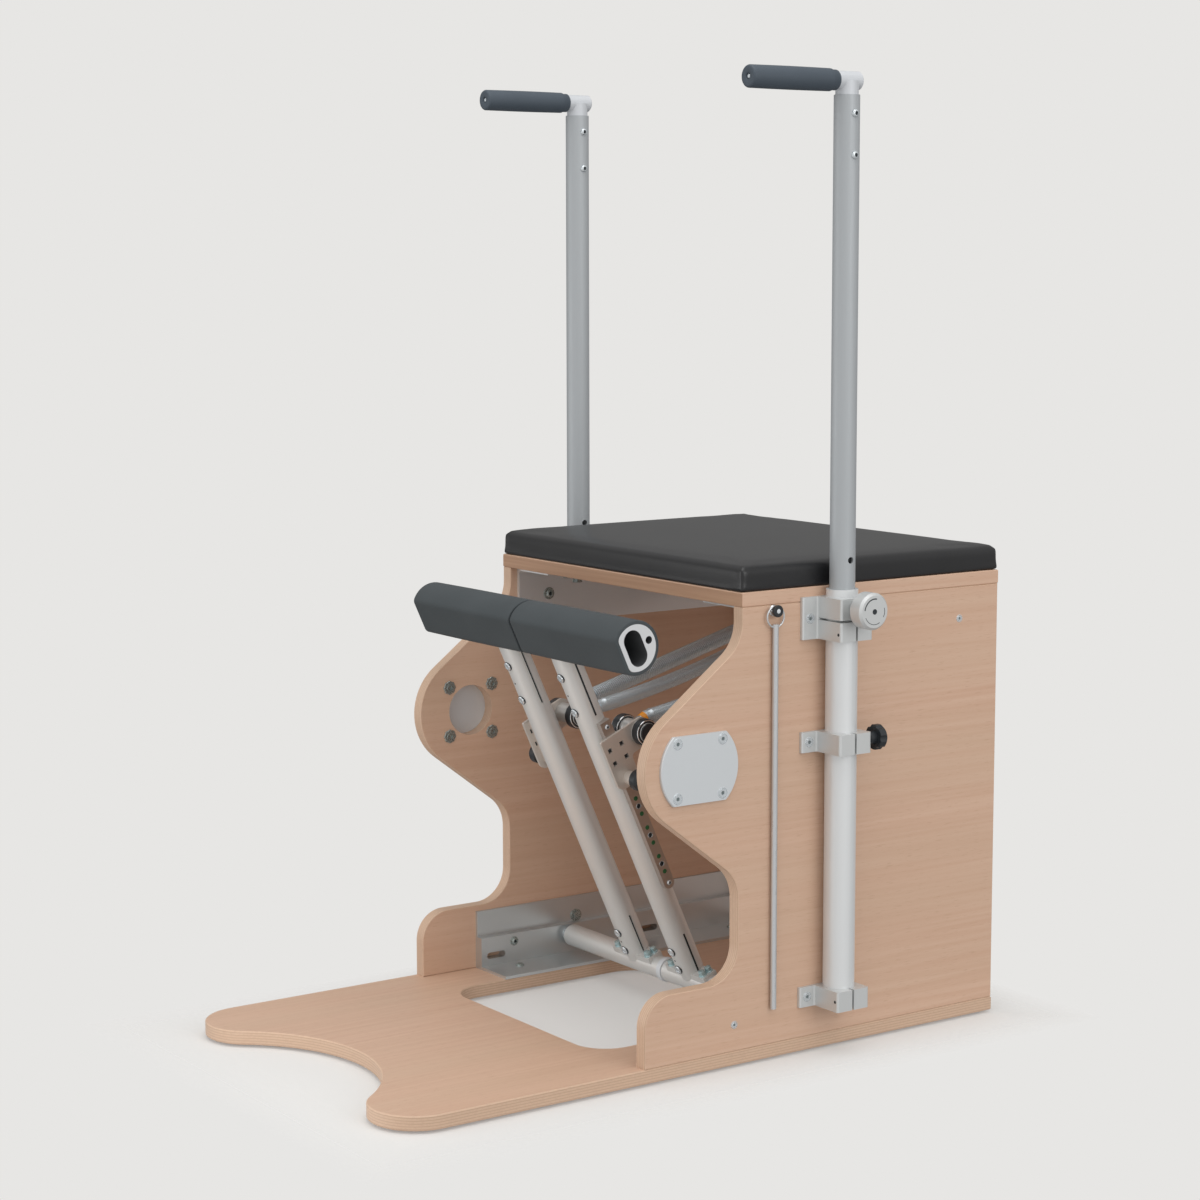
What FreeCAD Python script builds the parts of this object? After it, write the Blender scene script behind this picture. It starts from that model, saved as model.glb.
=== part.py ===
import FreeCAD, Part
import math
import os

# A pilates chair in millimetres. +X is the right of someone who faces its front, +Y its back, +Z up.
# The origin is on the floor under the middle of the whole part. Right-hand pieces are mirrored for the left.

vec = FreeCAD.Vector
ORIGIN, X, Y, Z = vec(0, 0, 0), vec(1, 0, 0), vec(0, 1, 0), vec(0, 0, 1)

# Plywood box
PLY = 18.0
BOX_WIDTH, BOX_DEPTH, PANEL_HEIGHT = 536.0, 422.0, 554.0
BOX_BACK = 456.0
BOX_FRONT = BOX_BACK - BOX_DEPTH
EASED_EDGE, SMALL_BEVEL, KNOB_BEVEL = 1.2, 1.0, 3.0
FOOT_HEIGHT, FOOT_RADIUS = 3.0, 16.0
FOOT_X, FOOT_BACK_Y, FOOT_MIDDLE_Y = 240.0, 430.0, 20.0
OUTER = BOX_WIDTH / 2
INNER = OUTER - PLY
BASE_TOP = FOOT_HEIGHT + PLY
PANEL_TOP = BASE_TOP + PANEL_HEIGHT
SEAT_BOARD_TOP = PANEL_TOP + PLY

# Base board: two round noses with a hollow between them, and a window under the seat
BASE_FRONT = -456.0
NOSE_RADIUS, RECESS_DEPTH = 60.0, 101.0
WINDOW_HALF_WIDTH, WINDOW_FRONT, WINDOW_BACK, WINDOW_RADIUS = 174.0, -118.0, 199.0, 45.0

# Side panel: its nose between two slanted edges, and the heel that runs forward along the base
NOSE_CENTRE_Y, NOSE_CENTRE_Z, PANEL_NOSE_RADIUS, NOSE_SLANT = -35.0, 383.0, 77.0, 37.0
NOSE_BEND_RADIUS, NOTCH_BACK = 50.0, 29.5
HEEL_FRONT, HEEL_TOP, HEEL_INNER_RADIUS, HEEL_OUTER_RADIUS = -112.0, 109.5, 45.0, 40.0
PORT_RADIUS, PORT_Y, PORT_Z = 34.5, -32.0, 384.0
COVER_RADIUS, COVER_HALF_HEIGHT, COVER_THICKNESS = 58.5, 42.5, 4.0
NUT_Y, NUT_Z, NUT_RADIUS, NUT_BORE, NUT_THICKNESS = 34.0, 33.5, 9.5, 3.5, 1.6

# Seat cushion: drawn in under its belly, round shoulders, low crown
CUSHION_HEIGHT, CROWN_RISE = 37.0, 4.0
CUSHION_CORNER, CUSHION_UNDERCUT, SHOULDER_WIDTH = 12.0, 2.0, 14.0
BELLY_HEIGHT, SHOULDER_HEIGHT = 11.0, 22.0
SHOULDER_TURNS = (15, 40, 65, 82)
CROWN_STEPS = ((70.0, 0.7), (140.0, 1.0))

# Aluminium rails under the seat board and on the base
BASE_RAIL_FRONT, RAIL_BACK = -27.0, 432.0
RAIL_FLANGE, RAIL_WALL, RAIL_FOOT_WIDTH, RAIL_LEG = 76.0, 4.0, 15.0, 5.0
BASE_RAIL_STEP, BASE_RAIL_HEIGHT = 44.0, 80.0
SLOT_LENGTH, SLOT_HEIGHT, SLOT_RISE = 30.0, 9.0, 18.0
SLOT_PLACES = (-3.0, 258.0)
TOP_RAIL_FRONT, TOP_RAIL_DROP = 45.0, 79.0

# Axle across the base
AXLE_Y, AXLE_Z, AXLE_RADIUS, AXLE_HALF_LENGTH = 119.2, 51.0, 10.0, 249.0
SPACER_RADIUS, SPACER_HALF_WIDTH = 16.5, 4.2
SLEEVE_RADIUS, SLEEVE_START, SLEEVE_END = 15.0, 4.5, 226.0
FIT = 0.05
CLEAR = 0.3

# Pedal, drawn upright about its axle and then leaned forward. Its front is -Y.
LEAN = 24.55
ARM_X, ARM_RADIUS, ARM_BORE, ARM_BOTTOM = 61.0, 17.5, 15.0, 19.0
SLIT_WIDTH, LOW_SLIT_TOP, HIGH_SLIT_BOTTOM = 2.5, 77.0, 410.0
PLUG_GAP, LOW_PLUG_TOP, HIGH_PLUG_BOTTOM, HIGH_PLUG_TOP = 0.1, 80.0, 420.0, 505.0
SADDLE_HALF_LENGTH, SADDLE_HALF_DEPTH, SADDLE_BOTTOM = 42.0, 11.0, 8.0
PAD_START, PAD_END, PAD_HEIGHT, PAD_SET_BACK = 2.0, 233.5, 529.0, 1.0
PAD_RADIUS, PAD_FLAT, PAD_COVER, PAD_EDGE_RADIUS = 32.0, 22.0, 3.0, 4.0
PAD_HOLE_WIDTH, PAD_HOLE_HEIGHT, PAD_HOLE_Y = 26.0, 47.0, 0.0
ROD_HOLE_RADIUS, ROD_HOLE_Y = 4.8, 21.3

# Hole rail on the outer side of the arm
HOLE_RAIL_START, HOLE_RAIL_END = 14.0, 26.0
HOLE_RAIL_FRONT, HOLE_RAIL_BACK, HOLE_RAIL_BOTTOM, HOLE_RAIL_TOP = -4.0, 12.0, 161.0, 400.0
RAIL_HOLE_RADIUS, FIRST_RAIL_HOLE, RAIL_HOLE_STEP, RAIL_HOLES = 3.5, 186.0, 44.0, 5

# Spring slider at its top hole, with the barrel and knob of its plunger
SLIDER_START = ARM_X + HOLE_RAIL_END + CLEAR
SLIDER_THICKNESS = 4.0
SLIDER_TOP, SLIDER_BOTTOM, SLIDER_STEP = 380.0, 307.0, 343.0
SLIDER_FRONT, SLIDER_BACK, SLIDER_TAIL = -15.5, 20.0, 60.0
SLIDER_TOP_CORNER, SLIDER_TAIL_CORNER, SLIDER_INNER_CORNER, SLIDER_LOW_CORNER = 2.0, 12.0, 6.0, 10.0
LIP_DEPTH, LIP_THICKNESS = 7.5, 3.7
SQUARE_HOLE, SQUARE_HOLE_HEIGHTS, SQUARE_HOLE_PLACES = 6.0, (345.0, 364.0), (-7.0, 12.4)
PLUNGER_HEIGHT, PLUNGER_Y, PLUNGER_RADIUS = 318.0, 4.0, 3.4
BARREL_RADIUS, BARREL_LENGTH, PULL_RADIUS, PULL_LENGTH = 9.0, 17.0, 13.5, 14.0

# Hub that carries the eyes of both springs of a pedal
HUB_HEIGHT, HUB_BACK, HUB_RADIUS, HUB_SLEEVE_RADIUS = 362.0, 46.0, 9.0, 13.0
HUB_CAP_RADIUS, HUB_CAP = 12.5, 2.0
EYE_RADIUS, EYE_WIDTH, EYE_EDGE = 17.0, 12.0, 2.0
INNER_SPRING_X, OUTER_SPRING_X = 53.0, 98.0

# Springs between the hub and the anchor bar
ANCHOR_Y, ANCHOR_Z, ANCHOR_RADIUS = 414.0, 511.0, 8.0
STEM_RADIUS, STEM_END, FRONT_END = 5.5, 26.0, 44.0
NECK_RADIUS, REAR_END = 8.0, 36.0
RING_RADIUS, RING_WIDTH = 14.0, 9.0
WIRE, COIL_RADIUS, COIL_TURNS = 4.0, 7.4, 11
COIL_LEAD, COIL_BEND_RADIUS = 12.0, 6.0
WIRE_FLATS = 6
GAP_SAMPLES_PER_ARC = 8

# Handle posts, their sleeves and clamps
POST_X, POST_Y, POST_RADIUS, POST_BORE, POST_BOTTOM, POST_TOP = 289.0, 174.0, 16.0, 13.5, 153.0, 1192.0
OUTER_TUBE_RADIUS, OUTER_TUBE_BORE, OUTER_TUBE_BOTTOM, OUTER_TUBE_TOP = 20.0, 17.8, 61.0, 590.5
SLEEVE_BUSH_LENGTH = 14.0
CLAMP_END, CLAMP_FRONT, CLAMP_BACK, CLAMP_CORNER = 318.0, 148.5, 199.5, 3.0
FLANGE_FRONT, FLANGE_THICKNESS, CLAMP_SLIT = 124.6, 5.0, 3.0
UPPER_CLAMP, MIDDLE_CLAMP, LOWER_CLAMP = (528.0, 581.0), (386.0, 412.0), (60.6, 86.6)
UPPER_SLIT_TOP, UPPER_SLIT_START = 555.0, 276.0
LOCK_Z, LOCK_PIN_RADIUS, LOCK_PIN_START = 568.0, 4.0, 313.0
LOCK_NECK_RADIUS, LOCK_NECK_END, LOCK_FLARE, LOCK_RADIUS, LOCK_END = 13.0, 327.0, 4.0, 23.0, 351.0
INDEX_STEP, INDEX_RADIUS, INDEX_BELOW, INDEX_ABOVE = 59.0, 4.2, 3, 1
STAR_X, STAR_Z, STAR_SCREW_RADIUS, STAR_SCREW_START = 309.0, 403.0, 4.0, 192.0
STAR_BOSS_RADIUS, STAR_FACE, STAR_END, STAR_RADIUS = 8.5, 210.0, 222.0, 16.0
STAR_LOBES, STAR_NOTCH_RADIUS = 6, 5.0

# Handle grip and the bar that it is on
BAR_Z, BAR_RADIUS, BAR_END, BAR_EDGE = 1209.0, 11.3, 192.5, 2.0
GRIP_FRONT, GRIP_BACK, GRIP_RADIUS, GRIP_CAP, GRIP_EDGE = 21.7, 163.5, 13.7, 8.0, 4.0
COLLAR_START, COLLAR_RADIUS = 147.0, 12.3
SPIGOT_RADIUS, POST_PLUG_BOTTOM = 14.2, 1100.0

# Coupling rod that hangs on the right panel
HOOK_Y, HOOK_Z, HOOK_RADIUS, HOOK_END = 82.0, 568.0, 4.0, 274.9
BUSH_RADIUS, BUSH_END, HOOK_HEAD_RADIUS, HOOK_HEAD = 7.0, 270.0, 7.3, 3.1
ROD_X, ROD_RADIUS, ROD_BOTTOM = 272.9, 3.9, 67.0
RING_MIDDLE_RADIUS, RING_WIRE_RADIUS, RING_SUNK = 13.0, 1.2, 4.0


def outline(corners, plane, bevelled=False):
    """A closed wire through corners (a, b, size), rounded or bevelled; plane(a, b) is the point in space."""
    flat = [vec(a, b, 0) for a, b, radius in corners]
    stretches = []
    for number, (a, b, radius) in enumerate(corners):
        corner = flat[number]
        back = (flat[number - 1] - corner).normalize()
        ahead = (flat[(number + 1) % len(flat)] - corner).normalize()
        if radius == 0:
            stretches.append((corner, corner, corner))
            continue
        half_angle = back.getAngle(ahead) / 2
        towards_centre = (back + ahead).normalize()
        run = radius / math.tan(half_angle)
        middle = corner + towards_centre * (radius / math.sin(half_angle) - radius)
        stretches.append((corner + back * run, middle, corner + ahead * run))
    edges = []
    for number, (start, middle, end) in enumerate(stretches):
        last_end = stretches[number - 1][2]
        if (start - last_end).Length > 1e-6:
            edges.append(Part.LineSegment(plane(last_end.x, last_end.y), plane(start.x, start.y)).toShape())
        if (end - start).Length < 1e-6:
            continue
        points = [plane(point.x, point.y) for point in (start, middle, end)]
        if bevelled:
            edges.append(Part.LineSegment(points[0], points[2]).toShape())
        else:
            edges.append(Part.Arc(*points).toShape())
    return Part.Wire(edges)


def on_yz(x):
    return lambda y, z: vec(x, y, z)


def on_xz(y):
    return lambda x, z: vec(x, y, z)


def on_xy(z):
    return lambda x, y: vec(x, y, z)


def prism(corners, plane, along):
    return Part.Face(outline(corners, plane)).extrude(along)


def box(low, high):
    size = high - low
    return Part.makeBox(size.x, size.y, size.z, low)


def rod(radius, start, along, length):
    return Part.makeCylinder(radius, length, start, along)


def tube(radius, bore, start, along, length):
    return rod(radius, start, along, length).cut(rod(bore, start, along, length))


def turned(profile, bore=0.0):
    """A turned piece along +X from a profile of (x, radius, edge bevel)."""
    corners = [(profile[0][0], bore, 0)] + profile + [(profile[-1][0], bore, 0)]
    return Part.Face(outline(corners, on_xy(0), bevelled=True)).revolve(ORIGIN, X, 360)


def moved(shape, offset):
    shape.translate(offset)
    return shape


def mirrored(shape):
    return shape.mirror(ORIGIN, X)


def eased(shape, low, high, axis):
    """The shape with its edges taken off round the two faces at low and high along an axis."""
    chosen = []
    for edge in shape.Edges:
        bounds = edge.BoundBox
        first = getattr(bounds, axis + "Min")
        last = getattr(bounds, axis + "Max")
        if last - first < 1e-3 and min(abs(first - low), abs(first - high)) < 1e-3:
            chosen.append(edge)
    return shape.makeChamfer(EASED_EDGE, chosen)


# Fixed pieces of the box

def base_board():
    nose_x = OUTER - NOSE_RADIUS
    nose_y = BASE_FRONT + NOSE_RADIUS
    recess_y = BASE_FRONT + RECESS_DEPTH
    rise = recess_y - nose_y
    recess_radius = (nose_x ** 2 + rise ** 2 - NOSE_RADIUS ** 2) / (2 * (NOSE_RADIUS + rise))
    recess_centre = recess_y - recess_radius
    share = recess_radius / (recess_radius + NOSE_RADIUS)
    meet_x = nose_x * share
    meet_y = recess_centre + (nose_y - recess_centre) * share
    at = on_xy(FOOT_HEIGHT)
    edges = [
        Part.LineSegment(at(OUTER, BOX_BACK), at(OUTER, nose_y)).toShape(),
        Part.Arc(at(OUTER, nose_y), at(nose_x, BASE_FRONT), at(meet_x, meet_y)).toShape(),
        Part.Arc(at(meet_x, meet_y), at(0, recess_y), at(-meet_x, meet_y)).toShape(),
        Part.Arc(at(-meet_x, meet_y), at(-nose_x, BASE_FRONT), at(-OUTER, nose_y)).toShape(),
        Part.LineSegment(at(-OUTER, nose_y), at(-OUTER, BOX_BACK)).toShape(),
        Part.LineSegment(at(-OUTER, BOX_BACK), at(OUTER, BOX_BACK)).toShape(),
    ]
    board = Part.Face(Part.Wire(edges)).extrude(Z * PLY)
    window = [
        (x, y, WINDOW_RADIUS)
        for x, y in (
            (-WINDOW_HALF_WIDTH, WINDOW_FRONT),
            (WINDOW_HALF_WIDTH, WINDOW_FRONT),
            (WINDOW_HALF_WIDTH, WINDOW_BACK),
            (-WINDOW_HALF_WIDTH, WINDOW_BACK),
        )
    ]
    board = board.cut(prism(window, at, Z * PLY))
    return eased(board, BASE_TOP, FOOT_HEIGHT, "Z")


def side_panel():
    slant = math.radians(NOSE_SLANT)
    tip = NOSE_CENTRE_Y - PANEL_NOSE_RADIUS / math.cos(math.pi / 2 - slant)
    rise = (BOX_FRONT - tip) * math.tan(slant)
    drop = (NOTCH_BACK - tip) * math.tan(slant)
    corners = [
        (BOX_BACK, PANEL_TOP, 0),
        (BOX_FRONT, PANEL_TOP, 0),
        (BOX_FRONT, NOSE_CENTRE_Z + rise, NOSE_BEND_RADIUS),
        (tip, NOSE_CENTRE_Z, PANEL_NOSE_RADIUS),
        (NOTCH_BACK, NOSE_CENTRE_Z - drop, NOSE_BEND_RADIUS),
        (NOTCH_BACK, HEEL_TOP, HEEL_INNER_RADIUS),
        (HEEL_FRONT, HEEL_TOP, HEEL_OUTER_RADIUS),
        (HEEL_FRONT, BASE_TOP, 0),
        (BOX_BACK, BASE_TOP, 0),
    ]
    panel = eased(prism(corners, on_yz(INNER), X * PLY), INNER, OUTER, "X")
    return panel.cut(rod(PORT_RADIUS, vec(INNER, PORT_Y, PORT_Z), X, PLY))


def cover_plate():
    disc = turned([(0, COVER_RADIUS, 0), (COVER_THICKNESS, COVER_RADIUS, SMALL_BEVEL)])
    across = box(
        vec(0, -COVER_RADIUS, -COVER_HALF_HEIGHT), vec(COVER_THICKNESS, COVER_RADIUS, COVER_HALF_HEIGHT)
    )
    return moved(disc.common(across), vec(OUTER, PORT_Y, PORT_Z))


def tee_nuts():
    nuts = []
    for side in (-1, 1):
        for y in (-NUT_Y, NUT_Y):
            for z in (-NUT_Z, NUT_Z):
                face = vec(side * INNER, PORT_Y + y, PORT_Z + z)
                nuts.append(tube(NUT_RADIUS, NUT_BORE, face, X * -side, NUT_THICKNESS))
    return Part.makeCompound(nuts)


def top_board():
    board = box(vec(-OUTER, BOX_FRONT, PANEL_TOP), vec(OUTER, BOX_BACK, SEAT_BOARD_TOP))
    return eased(board, PANEL_TOP, SEAT_BOARD_TOP, "Z")


def back_panel():
    return box(vec(-INNER, BOX_BACK - PLY, BASE_TOP), vec(INNER, BOX_BACK, PANEL_TOP))


def cushion_section(inset, height):
    """The cushion's outline at a height over the seat board, drawn in from the board's edges."""
    half_width = OUTER - inset
    front, back = BOX_FRONT + inset, BOX_BACK - inset
    corner = CUSHION_CORNER + inset / 2
    corners = [
        (half_width, front, corner),
        (half_width, back, corner),
        (-half_width, back, corner),
        (-half_width, front, corner),
    ]
    return outline(corners, on_xy(SEAT_BOARD_TOP + height))


def seat_cushion():
    sections = [cushion_section(CUSHION_UNDERCUT, 0), cushion_section(0, BELLY_HEIGHT)]
    shoulder_rise = CUSHION_HEIGHT - SHOULDER_HEIGHT
    for degrees in SHOULDER_TURNS:
        turn = math.radians(degrees)
        inset = SHOULDER_WIDTH * (1 - math.cos(turn))
        sections.append(cushion_section(inset, SHOULDER_HEIGHT + shoulder_rise * math.sin(turn)))
    for inset, share in CROWN_STEPS:
        sections.append(cushion_section(inset, CUSHION_HEIGHT + CROWN_RISE * share))
    return Part.makeLoft(sections, True, True)


def base_feet():
    places = [(FOOT_X, FOOT_BACK_Y), (FOOT_X, FOOT_MIDDLE_Y), (OUTER - NOSE_RADIUS, BASE_FRONT + NOSE_RADIUS)]
    feet = []
    for side in (-1, 1):
        for x, y in places:
            feet.append(rod(FOOT_RADIUS, vec(side * x, y, 0), Z, FOOT_HEIGHT))
    return Part.makeCompound(feet)


def base_rail():
    flange_top = BASE_TOP + RAIL_WALL
    step = BASE_TOP + BASE_RAIL_STEP
    top = BASE_TOP + BASE_RAIL_HEIGHT
    corners = [
        (INNER, BASE_TOP, 0),
        (INNER - RAIL_FLANGE, BASE_TOP, 0),
        (INNER - RAIL_FLANGE, flange_top, 0),
        (INNER - RAIL_FOOT_WIDTH, flange_top, 0),
        (INNER - RAIL_FOOT_WIDTH, step, 0),
        (INNER - RAIL_WALL, step, 0),
        (INNER - RAIL_WALL, top, 0),
        (INNER, top, 0),
    ]
    rail = prism(corners, on_xz(BASE_RAIL_FRONT), Y * (RAIL_BACK - BASE_RAIL_FRONT))
    bore_start = vec(INNER - RAIL_FOOT_WIDTH, AXLE_Y, AXLE_Z)
    rail = rail.cut(rod(AXLE_RADIUS + FIT, bore_start, X, RAIL_FOOT_WIDTH))
    low, high = BASE_TOP + SLOT_RISE - SLOT_HEIGHT / 2, BASE_TOP + SLOT_RISE + SLOT_HEIGHT / 2
    for place in SLOT_PLACES:
        front, back = place - SLOT_LENGTH / 2, place + SLOT_LENGTH / 2
        end = SLOT_HEIGHT / 2
        slot = [(front, low, end), (back, low, end), (back, high, end), (front, high, end)]
        rail = rail.cut(prism(slot, on_yz(INNER - RAIL_FOOT_WIDTH), X * RAIL_FOOT_WIDTH))
    return rail


def top_rail():
    low = PANEL_TOP - TOP_RAIL_DROP
    corners = [
        (INNER, PANEL_TOP, 0),
        (INNER - RAIL_FLANGE, PANEL_TOP, 0),
        (INNER - RAIL_FLANGE, PANEL_TOP - RAIL_WALL, 0),
        (INNER - RAIL_LEG, PANEL_TOP - RAIL_WALL, RAIL_WALL),
        (INNER - RAIL_LEG, low, 0),
        (INNER, low, 0),
    ]
    return prism(corners, on_xz(TOP_RAIL_FRONT), Y * (RAIL_BACK - TOP_RAIL_FRONT))


def pedal_axle():
    return rod(AXLE_RADIUS, vec(-AXLE_HALF_LENGTH, AXLE_Y, AXLE_Z), X, 2 * AXLE_HALF_LENGTH)


def axle_spacer():
    start = vec(-SPACER_HALF_WIDTH, AXLE_Y, AXLE_Z)
    return tube(SPACER_RADIUS, AXLE_RADIUS + FIT, start, X, 2 * SPACER_HALF_WIDTH)


def anchor_bar():
    end = INNER - RAIL_LEG
    return rod(ANCHOR_RADIUS, vec(-end, ANCHOR_Y, ANCHOR_Z), X, 2 * end)


def clamp(span):
    """A clamp block round the post sleeve, with a flange that is screwed to the panel."""
    low, high = span
    flange = OUTER + FLANGE_THICKNESS
    corners = [
        (OUTER, CLAMP_BACK, 0),
        (CLAMP_END, CLAMP_BACK, CLAMP_CORNER),
        (CLAMP_END, CLAMP_FRONT, CLAMP_CORNER),
        (flange, CLAMP_FRONT, FLANGE_THICKNESS / 2),
        (flange, FLANGE_FRONT, FLANGE_THICKNESS / 2),
        (OUTER, FLANGE_FRONT, 0),
    ]
    block = prism(corners, on_xy(low), Z * (high - low))
    return block.cut(rod(OUTER_TUBE_RADIUS + FIT, vec(POST_X, POST_Y, low), Z, high - low))


def split(block, low, high):
    """The block with its outer wall sawn open between two heights."""
    half = CLAMP_SLIT / 2
    return block.cut(box(vec(POST_X, POST_Y - half, low), vec(CLAMP_END, POST_Y + half, high)))


def upper_clamp():
    low, high = UPPER_CLAMP
    block = split(clamp(UPPER_CLAMP), low, UPPER_SLIT_TOP)
    saw_low = vec(UPPER_SLIT_START, CLAMP_FRONT, UPPER_SLIT_TOP - CLAMP_SLIT)
    saw_high = vec(CLAMP_END, CLAMP_BACK, UPPER_SLIT_TOP)
    block = block.cut(box(saw_low, saw_high))
    return block.cut(rod(LOCK_PIN_RADIUS + FIT, vec(POST_X, POST_Y, LOCK_Z), X, CLAMP_END - POST_X))


def middle_clamp():
    block = split(clamp(MIDDLE_CLAMP), *MIDDLE_CLAMP)
    return block.cut(rod(STAR_SCREW_RADIUS + FIT, vec(STAR_X, POST_Y, STAR_Z), Y, CLAMP_BACK - POST_Y))


def lower_clamp():
    return split(clamp(LOWER_CLAMP), *LOWER_CLAMP)


def post_sleeve():
    start = vec(POST_X, POST_Y, OUTER_TUBE_BOTTOM)
    sleeve = tube(OUTER_TUBE_RADIUS, OUTER_TUBE_BORE, start, Z, OUTER_TUBE_TOP - OUTER_TUBE_BOTTOM)
    bush_start = vec(POST_X, POST_Y, OUTER_TUBE_TOP - SLEEVE_BUSH_LENGTH)
    bush = tube(OUTER_TUBE_BORE, POST_RADIUS + CLEAR, bush_start, Z, SLEEVE_BUSH_LENGTH)
    return sleeve.fuse(bush).removeSplitter()


def rod_hook():
    hook = turned([
        (OUTER, BUSH_RADIUS, 0),
        (BUSH_END, BUSH_RADIUS, SMALL_BEVEL),
        (BUSH_END, HOOK_RADIUS, 0),
        (HOOK_END, HOOK_RADIUS, 0),
        (HOOK_END, HOOK_HEAD_RADIUS, 0),
        (HOOK_END + HOOK_HEAD, HOOK_HEAD_RADIUS, SMALL_BEVEL),
    ])
    return moved(hook, vec(0, HOOK_Y, HOOK_Z))


# Pedal pieces, drawn upright about the axle

def in_pedal(shape):
    shape.rotate(ORIGIN, X, LEAN)
    return moved(shape, vec(0, AXLE_Y, AXLE_Z))


def pad_bar(radius, flat):
    """A round bar with a flat front, over the length of one pad."""
    length = PAD_END - PAD_START
    bar = rod(radius, vec(PAD_START, PAD_SET_BACK, PAD_HEIGHT), X, length)
    front = box(vec(PAD_START, -2 * radius, PAD_HEIGHT - radius), vec(PAD_END, -flat, PAD_HEIGHT + radius))
    bar = bar.cut(front)
    long_edges = [
        edge
        for edge in bar.Edges
        if edge.BoundBox.XLength > length - 1 and abs(edge.CenterOfMass.y + flat) < 1e-3
    ]
    return bar.makeFillet(PAD_EDGE_RADIUS, long_edges)


def high_plug():
    start = vec(ARM_X, 0, HIGH_PLUG_BOTTOM)
    return rod(ARM_BORE - PLUG_GAP, start, Z, HIGH_PLUG_TOP - HIGH_PLUG_BOTTOM)


def pad_core():
    core = pad_bar(PAD_RADIUS - PAD_COVER, PAD_FLAT - PAD_COVER).fuse(high_plug())
    half_width, half_height = PAD_HOLE_WIDTH / 2, PAD_HOLE_HEIGHT / 2
    hole = [
        (PAD_HOLE_Y + y * half_width, PAD_HEIGHT + z * half_height, half_width)
        for y, z in ((-1, -1), (1, -1), (1, 1), (-1, 1))
    ]
    length = PAD_END - PAD_START
    core = core.cut(prism(hole, on_yz(PAD_START), X * length))
    core = core.cut(rod(ROD_HOLE_RADIUS, vec(PAD_START, ROD_HOLE_Y, PAD_HEIGHT), X, length))
    return core.removeSplitter()


def pad_cover():
    cover = pad_bar(PAD_RADIUS, PAD_FLAT).cut(pad_bar(PAD_RADIUS - PAD_COVER, PAD_FLAT - PAD_COVER))
    return cover.cut(high_plug())


def slit(low, high):
    half = SLIT_WIDTH / 2
    return box(vec(ARM_X - ARM_RADIUS, -half, low), vec(ARM_X + ARM_RADIUS, half, high))


def pedal_arm():
    arm = tube(ARM_RADIUS, ARM_BORE, vec(ARM_X, 0, ARM_BOTTOM), Z, PAD_HEIGHT - ARM_BOTTOM)
    arm = arm.cut(pad_bar(PAD_RADIUS, PAD_FLAT))
    arm = arm.cut(slit(ARM_BOTTOM, LOW_SLIT_TOP))
    return arm.cut(slit(HIGH_SLIT_BOTTOM, PAD_HEIGHT))


def pivot_sleeve():
    return tube(SLEEVE_RADIUS, AXLE_RADIUS + FIT, vec(SLEEVE_START, 0, 0), X, SLEEVE_END - SLEEVE_START)


def arm_saddle():
    block = box(
        vec(ARM_X - SADDLE_HALF_LENGTH, -SADDLE_HALF_DEPTH, SADDLE_BOTTOM),
        vec(ARM_X + SADDLE_HALF_LENGTH, SADDLE_HALF_DEPTH, ARM_BOTTOM),
    )
    plug = rod(ARM_BORE - PLUG_GAP, vec(ARM_X, 0, SADDLE_BOTTOM), Z, LOW_PLUG_TOP - SADDLE_BOTTOM)
    saddle = block.fuse(plug)
    return saddle.cut(rod(SLEEVE_RADIUS, vec(SLEEVE_START, 0, 0), X, SLEEVE_END - SLEEVE_START))


def hole_rail():
    rail = box(
        vec(ARM_X + HOLE_RAIL_START, HOLE_RAIL_FRONT, HOLE_RAIL_BOTTOM),
        vec(ARM_X + HOLE_RAIL_END, HOLE_RAIL_BACK, HOLE_RAIL_TOP),
    )
    rail = rail.cut(rod(ARM_RADIUS, vec(ARM_X, 0, HOLE_RAIL_BOTTOM), Z, HOLE_RAIL_TOP - HOLE_RAIL_BOTTOM))
    for number in range(RAIL_HOLES):
        centre = vec(ARM_X, PLUNGER_Y, FIRST_RAIL_HOLE + number * RAIL_HOLE_STEP)
        rail = rail.cut(rod(RAIL_HOLE_RADIUS, centre, X, HOLE_RAIL_END))
    return rail


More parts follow.
